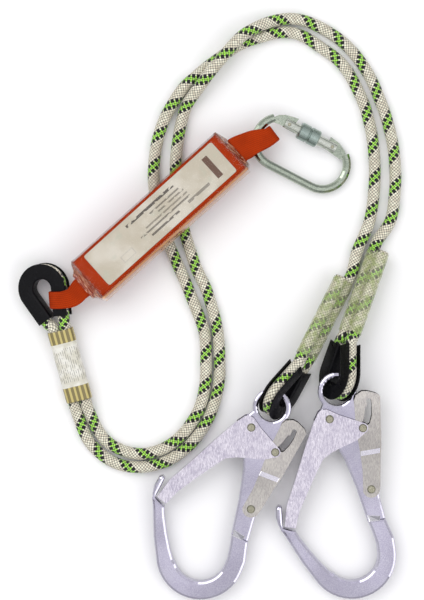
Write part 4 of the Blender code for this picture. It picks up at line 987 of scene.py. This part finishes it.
def build_webbing_loops():
    """The strap through the carabiner and the strap round the absorber's thimble."""
    into = PACK_FRAME.inverted()

    def past_pack(x, y, height):
        return into @ Vector((PACK_END.x + x, PACK_END.y + y, height))

    def direction(vector):
        return (into.to_3x3() @ Vector(vector)).normalized()

    lift = (PLY + PLY_GAP) / 2
    start = PACK_LENGTH / 2 + GAP
    wide = CARABINER_NECK_WIDTH / 2 - LOOP_INSET
    narrow = LANYARD_NECK_WIDTH / 2 - LOOP_INSET
    over = WEBBING_BOW_HEIGHT + WIRE_RADIUS + PLY / 2
    under = WEBBING_BOW_HEIGHT - WIRE_RADIUS - PLY / 2
    neck = start + CARABINER_NECK + PAST_NECK
    upper = [
        (Vector((0, start, lift)), wide), (Vector((0, neck, lift)), wide),
        (past_pack(0.0206, 0.0122, over + 0.0066), 0.0118),
    ]
    lower = [
        (Vector((0, start, -lift)), wide), (Vector((0, neck, -lift)), wide),
        (
            past_pack(0.0098, 0.0055, under + 0.0079), 0.0120
        ), (past_pack(0.0156, 0.0085, under + 0.0013), 0.0110),
        (past_pack(0.0216, 0.0115, under + 0.0008), 0.0102),
    ]
    fold = past_pack(0.0345, 0.0171, WEBBING_BOW_HEIGHT + 0.0026)
    stations = loop_stations(
        upper, lower, Vector((1, 0, 0)), fold,
        direction((0.800, 0.600, -0.05)), direction((0.600, -0.800, 0.0)),
        0.0086, CARABINER_LOOP_RADIUS,
    )
    webbing = LOOKS["orange_webbing"]
    linked(
        "webbing_carabiner_end", strap_mesh("webbing_carabiner_end", stations), "absorber",
        ["carabiner_loop"], webbing
    )

    bow = EYES["absorber"][0]
    path = teardrop(16, 1)
    tail, tangent = path[-1], path[-2]
    share = (0.0165 - tangent.y) / (tail.y - tangent.y)
    middle = bow @ tangent.lerp(tail, share)
    along = (bow.to_3x3() @ (tail - tangent).normalized()).normalized()
    out = (Vector((1, 0.25, 0)) - along * Vector((1, 0.25, 0)).dot(along)).normalized()
    neck = start + LANYARD_NECK + PAST_NECK
    upper = [
        (Vector((PACK_SHIFT, -start, lift)), narrow), (Vector((PACK_SHIFT, -neck, lift)), narrow),
        (into @ (middle + out * 0.011 + Vector((0, 0.001, 0.0118))), 0.0095),
    ]
    lower = [
        (Vector((PACK_SHIFT, -start, -lift)), narrow), (Vector((PACK_SHIFT, -neck, -lift)), narrow),
        (into @ (middle + out * 0.0095 + Vector((0, 0.001, -0.0108))), 0.0095),
    ]
    stations = loop_stations(
        upper, lower, Vector((-1, 0, 0)), into @ middle, direction(-out), direction(-along),
        0.0085, THIMBLE_LOOP_RADIUS,
    )
    linked(
        "webbing_lanyard_end", strap_mesh("webbing_lanyard_end", stations), "absorber", ["lanyard_loop"],
        webbing
    )


# ---------------------------------------------------------------- metal
# The eye of each hook, its two directions in its flat face, and the way that face looks.
HOOK_PLACES = {
    "left": (
        (0.064285, -0.051332, 0.025508), (0.90183, -0.43209, 0.0), (0.43042, 0.89835, 0.08785),
        (-0.03796, -0.07923, 0.99613)
    ),
    "right": (
        (0.128725, -0.035386, 0.024952), (0.99556, 0.09411, 0.0), (-0.09377, 0.99194, 0.08518),
        (0.00802, -0.0848, 0.99637)
    ),
}

def finish_node(name, material):
    """Gives a CAD node its finish."""
    node = NODES[name]
    for slot in node.material_slots:
        slot.material = material
    if not node.material_slots:
        node.data.materials.append(material)


def hook_facet(name, side, body, corners, floor):
    """A small raised facet on a hook, with skirts down to the metal, in the hook's own millimetres; its
    lighter metal is a painted highlight.
    """
    origin, ex, ey, normal = (Vector(v) for v in HOOK_PLACES[side])
    count = len(corners)
    centre = tuple(sum(corner[k] for corner in corners) / count for k in range(3))
    rings = []
    for share, drop in ((1.0, None), (1.0, 0.15), (0.96, 0.0), (0.80, 0.0)):
        ring = []
        for x, y, z in corners:
            px, py = centre[0] + (x - centre[0]) * share, centre[1] + (y - centre[1]) * share
            ring.append((px, py, floor if drop is None else z - drop))
        rings.append([origin + ex * x * 0.001 + ey * y * 0.001 + normal * z * 0.001 for x, y, z in ring])
    rings = np.array([[tuple(point) for point in ring] for ring in rings])
    uv = np.zeros((len(rings), count + 1, 2))
    mesh = grid_mesh(name, rings, uv, caps=True)
    linked(
        name, mesh, body, [], LOOKS["painted_highlight_facet"],
        smooth=False
    )


def link_hook(side):
    """Finishes one hook's nodes and adds its two facets."""
    forged, sheet = LOOKS["polished_zinc"], LOOKS["zinc_sheet"]
    finish_node(f"hook_body_{side}", forged)
    finish_node(f"gate_{side}", sheet)
    finish_node(f"lock_lever_{side}", LOOKS["zinc_lever"])
    for name in (f"gate_rivet_{side}", f"lever_rivet_{side}", f"lock_pin_{side}"):
        finish_node(name, LOOKS["brass_rivet"])
    for name in (f"gate_spring_{side}", f"lever_spring_{side}"):
        finish_node(name, LOOKS["spring_steel"])
    ramp = [(18.5, -125.5, 3.7), (31.5, -127.5, 3.7), (30.5, -132.0, 7.2), (19.5, -132.0, 7.2)]
    hook_facet(f"forged_ramp_{side}", side, f"hook_{side}", ramp, 3.2)
    joggle = [(17.7, -61.0, 5.35), (37.3, -59.5, 5.35), (36.6, -64.5, 6.0), (17.4, -66.0, 6.0)]
    hook_facet(f"lever_joggle_{side}", side, f"hook_lever_{side}", joggle, 5.0)


# ---------------------------------------------------------------- studio
CAMERA = Vector((0.005, 0.055, 2.5))
SKY_HEIGHT = 2.9
SKY_TINT = (1.2, 1.18, 1.24)
SKY_OUTLINE = [(-1.6, -1.9), (1.6, -1.9), (1.6, 1.7), (-1.6, 1.7)]
FLOOR_REACH = 6


def build_card(name, colour, outline, height):
    """A softly lit card above the stage, seen only in reflections."""
    mesh = bpy.data.meshes.new(name)
    mesh.from_pydata([(x, y, height) for x, y in outline], [], [tuple(range(len(outline)))])
    made, n, shader = new_material(name, 0.9)
    glow = n.add("ShaderNodeEmission")
    patch = n.noise(n.coordinates(), 9.0, 2.0)
    n.feed(
        glow.inputs["Color"],
        n.mix(n.ramp(patch, 0.0, 1.0, 0.35, 0.65), tuple(c * 0.72 for c in colour), colour)
    )
    made.node_tree.links.new(glow.outputs[0], made.node_tree.nodes["Material Output"].inputs["Surface"])
    mesh.materials.append(made)
    board = bpy.data.objects.new(name, mesh)
    board.visible_camera = False
    bpy.context.scene.collection.objects.link(board)


# ---------------------------------------------------------------- operators
class LANYARD_OT_materials(bpy.types.Operator):
    """Makes the shared node groups and every finish"""

    bl_idname = "lanyard.materials"
    bl_label = "Finishes"

    def execute(self, context):
        metal_grain_group()
        weave_group()
        zinc = tuple(settings().zinc)
        rope_material()
        nylon_material()
        clear_sleeve_material()
        printed_sleeve_material()
        dark = tuple(value * 0.42 for value in settings().webbing)
        webbing_material("orange_webbing", tuple(settings().webbing), dark)
        film_material()
        label_material()
        grained(
            "polished_zinc", zinc, (zinc[0] * 0.80, zinc[1] * 0.78, zinc[2] * 0.84), low=0.03, high=0.08,
            pits=0.006
        )
        grained("zinc_sheet", (0.84, 0.81, 0.86), (0.50, 0.47, 0.56), (1.0, 0.25, 1.0), 0.10, 0.20, 0.16)
        grained("zinc_lever", (0.60, 0.58, 0.52), (0.42, 0.40, 0.38), (1.0, 0.3, 1.0), 0.03, 0.08, 0.008)
        # The facets' lighter metal is a painted highlight on the same plating as the hook.
        grained("painted_highlight_facet", (0.78, 0.77, 0.82), (0.58, 0.57, 0.62), low=0.06, high=0.14, pits=0.02)
        grained("brass_rivet", (0.46, 0.45, 0.34), (0.26, 0.25, 0.18), low=0.2, high=0.4)
        grained("spring_steel", (0.45, 0.45, 0.46), (0.25, 0.25, 0.26))
        grained("carabiner_steel", (0.52, 0.58, 0.47), (0.30, 0.35, 0.28), low=0.06, high=0.14, pits=0.02)
        grained(
            "carabiner_gate_steel", (0.68, 0.71, 0.63), (0.46, 0.49, 0.43), low=0.08, high=0.18, pits=0.04
        )
        grained("screw_sleeve_steel", (0.42, 0.50, 0.46), (0.22, 0.28, 0.25), (6.0, 6.0, 1.0), 0.2, 0.36, 0.5)
        return {"FINISHED"}


class LANYARD_OT_rope_legs(bpy.types.Operator):
    """Builds the two free rope legs"""

    bl_idname = "lanyard.rope_legs"
    bl_label = "Rope Legs"

    def execute(self, context):
        build_leg("braided_leg_left", LEFT_ROUTE, -1, "left", 1)
        build_leg("braided_leg_right", RIGHT_ROUTE, 1, "right", -1)
        return {"FINISHED"}


class LANYARD_OT_eyes(bpy.types.Operator):
    """Builds the rope eyes, the thimbles and the sleeves"""

    bl_idname = "lanyard.eyes"
    bl_label = "Eyes, Thimbles and Sleeves"

    def execute(self, context):
        for which in EYES:
            build_eye(which)
            build_thimble(which)
        build_sleeve("absorber", "printed_sleeve", "label_sleeve", LOOKS["printed_sleeve"])
        for which in ("left", "right"):
            build_sleeve(
                which, f"shrink_sleeve_{which}", f"splice_sleeve_{which}",
                LOOKS["clear_shrink_sleeve"]
            )
        return {"FINISHED"}


class LANYARD_OT_absorber(bpy.types.Operator):
    """Builds the absorber pack: folded webbing, label and shrink cover"""

    bl_idname = "lanyard.absorber"
    bl_label = "Absorber Pack"

    def execute(self, context):
        build_pack()
        return {"FINISHED"}


class LANYARD_OT_webbing_loops(bpy.types.Operator):
    """Builds the webbing loops at both ends of the pack"""

    bl_idname = "lanyard.webbing_loops"
    bl_label = "Webbing Loops"

    def execute(self, context):
        build_webbing_loops()
        return {"FINISHED"}


class LANYARD_OT_hooks(bpy.types.Operator):
    """Finishes the two scaffold hooks"""

    bl_idname = "lanyard.hooks"
    bl_label = "Scaffold Hooks"

    def execute(self, context):
        for side in ("left", "right"):
            link_hook(side)
        return {"FINISHED"}


class LANYARD_OT_carabiner(bpy.types.Operator):
    """Finishes the screw-gate carabiner"""

    bl_idname = "lanyard.carabiner"
    bl_label = "Carabiner"

    def execute(self, context):
        finish_node("carabiner_frame", LOOKS["carabiner_steel"])
        finish_node("carabiner_gate", LOOKS["carabiner_gate_steel"])
        for name in ("carabiner_hinge_pin", "carabiner_latch_pin"):
            finish_node(name, LOOKS["brass_rivet"])
        finish_node("screw_sleeve", LOOKS["screw_sleeve_steel"])
        for name in ("carabiner_plunger", "carabiner_gate_spring"):
            finish_node(name, LOOKS["spring_steel"])
        return {"FINISHED"}


class LANYARD_OT_stage(bpy.types.Operator):
    """Sets the floor, the lights and the camera"""

    bl_idname = "lanyard.stage"
    bl_label = "Stage"

    def execute(self, context):
        scene = context.scene
        scene.view_settings.view_transform = "Standard"
        camera = bpy.data.cameras.new("camera")
        camera.lens = 150.0
        camera.sensor_width = 36.0
        camera.sensor_fit = "VERTICAL"
        camera.sensor_height = 36.0
        holder = bpy.data.objects.new("camera", camera)
        holder.location = CAMERA
        scene.collection.objects.link(holder)
        scene.camera = holder

        floor = bpy.data.meshes.new("floor")
        r = FLOOR_REACH
        floor.from_pydata([(-r, -r, 0), (r, -r, 0), (r, r, 0), (-r, r, 0)], [], [(0, 1, 2, 3)])
        made, n, shader = new_material("pale_floor", 0.9)
        shade = n.ramp(n.noise(n.coordinates(), 3.0, 2.0), 0.93, 0.96)
        grey = n.add("ShaderNodeCombineColor")
        for socket in grey.inputs:
            n.feed(socket, shade)
        n.feed(shader.inputs["Base Color"], grey.outputs[0])
        floor.materials.append(made)
        ground = bpy.data.objects.new("floor", floor)
        scene.collection.objects.link(ground)

        world = bpy.data.worlds.new("soft_studio")
        scene.world = world
        world.use_nodes = True
        n = Nodes(world.node_tree)
        back = world.node_tree.nodes["Background"]
        split = n.add("ShaderNodeSeparateXYZ")
        n.feed(split.inputs[0], n.coordinates("Generated"))
        n.feed(
            back.inputs["Color"],
            n.mix(n.ramp(split.outputs[2], 0.0, 1.0, 0.05, 0.85), (0.42, 0.42, 0.45), (1.0, 1.0, 1.0))
        )
        back.inputs["Strength"].default_value = 0.9

        for name, place, size, power in (
            ("key", (-1.1, 1.0, 2.0), 2.0, 19.0), ("fill", (1.4, -0.9, 1.8), 1.8, 11.0),
        ):
            light = bpy.data.lights.new(name, "AREA")
            light.shape = "DISK"
            light.size = size
            light.energy = power
            lamp = bpy.data.objects.new(name, light)
            lamp.location = place
            lamp.rotation_euler = (Vector((0, 0.05, 0)) - Vector(place)).to_track_quat("-Z", "Y").to_euler()
            scene.collection.objects.link(lamp)

        build_card("card_sky", SKY_TINT, SKY_OUTLINE, SKY_HEIGHT)
        return {"FINISHED"}


class LANYARD_PT_panel(bpy.types.Panel):
    """Lists the sizes, the colours and the pieces"""

    bl_idname = "LANYARD_PT_panel"
    bl_label = "Lanyard"
    bl_space_type = "VIEW_3D"
    bl_region_type = "UI"
    bl_category = "Lanyard"

    def draw(self, context):
        layout = self.layout
        for key in LanyardSettings.__annotations__:
            layout.prop(context.scene.lanyard, key)
        for kind in OPERATORS:
            layout.operator(kind.bl_idname)


OPERATORS = (
    LANYARD_OT_materials, LANYARD_OT_stage, LANYARD_OT_rope_legs, LANYARD_OT_eyes, LANYARD_OT_absorber,
    LANYARD_OT_webbing_loops, LANYARD_OT_hooks, LANYARD_OT_carabiner,
)
CLASSES = (LanyardSettings, *OPERATORS, LANYARD_PT_panel)


def register():
    for kind in CLASSES:
        bpy.utils.register_class(kind)
    bpy.types.Scene.lanyard = PointerProperty(type=LanyardSettings)


def unregister():
    del bpy.types.Scene.lanyard
    for kind in reversed(CLASSES):
        bpy.utils.unregister_class(kind)


def main():
    """Builds every piece in order."""
    register()
    bpy.ops.lanyard.materials()
    bpy.ops.lanyard.stage()
    bpy.ops.lanyard.rope_legs()
    bpy.ops.lanyard.eyes()
    bpy.ops.lanyard.absorber()
    bpy.ops.lanyard.webbing_loops()
    bpy.ops.lanyard.hooks()
    bpy.ops.lanyard.carabiner()


if __name__ == "__main__":
    main()
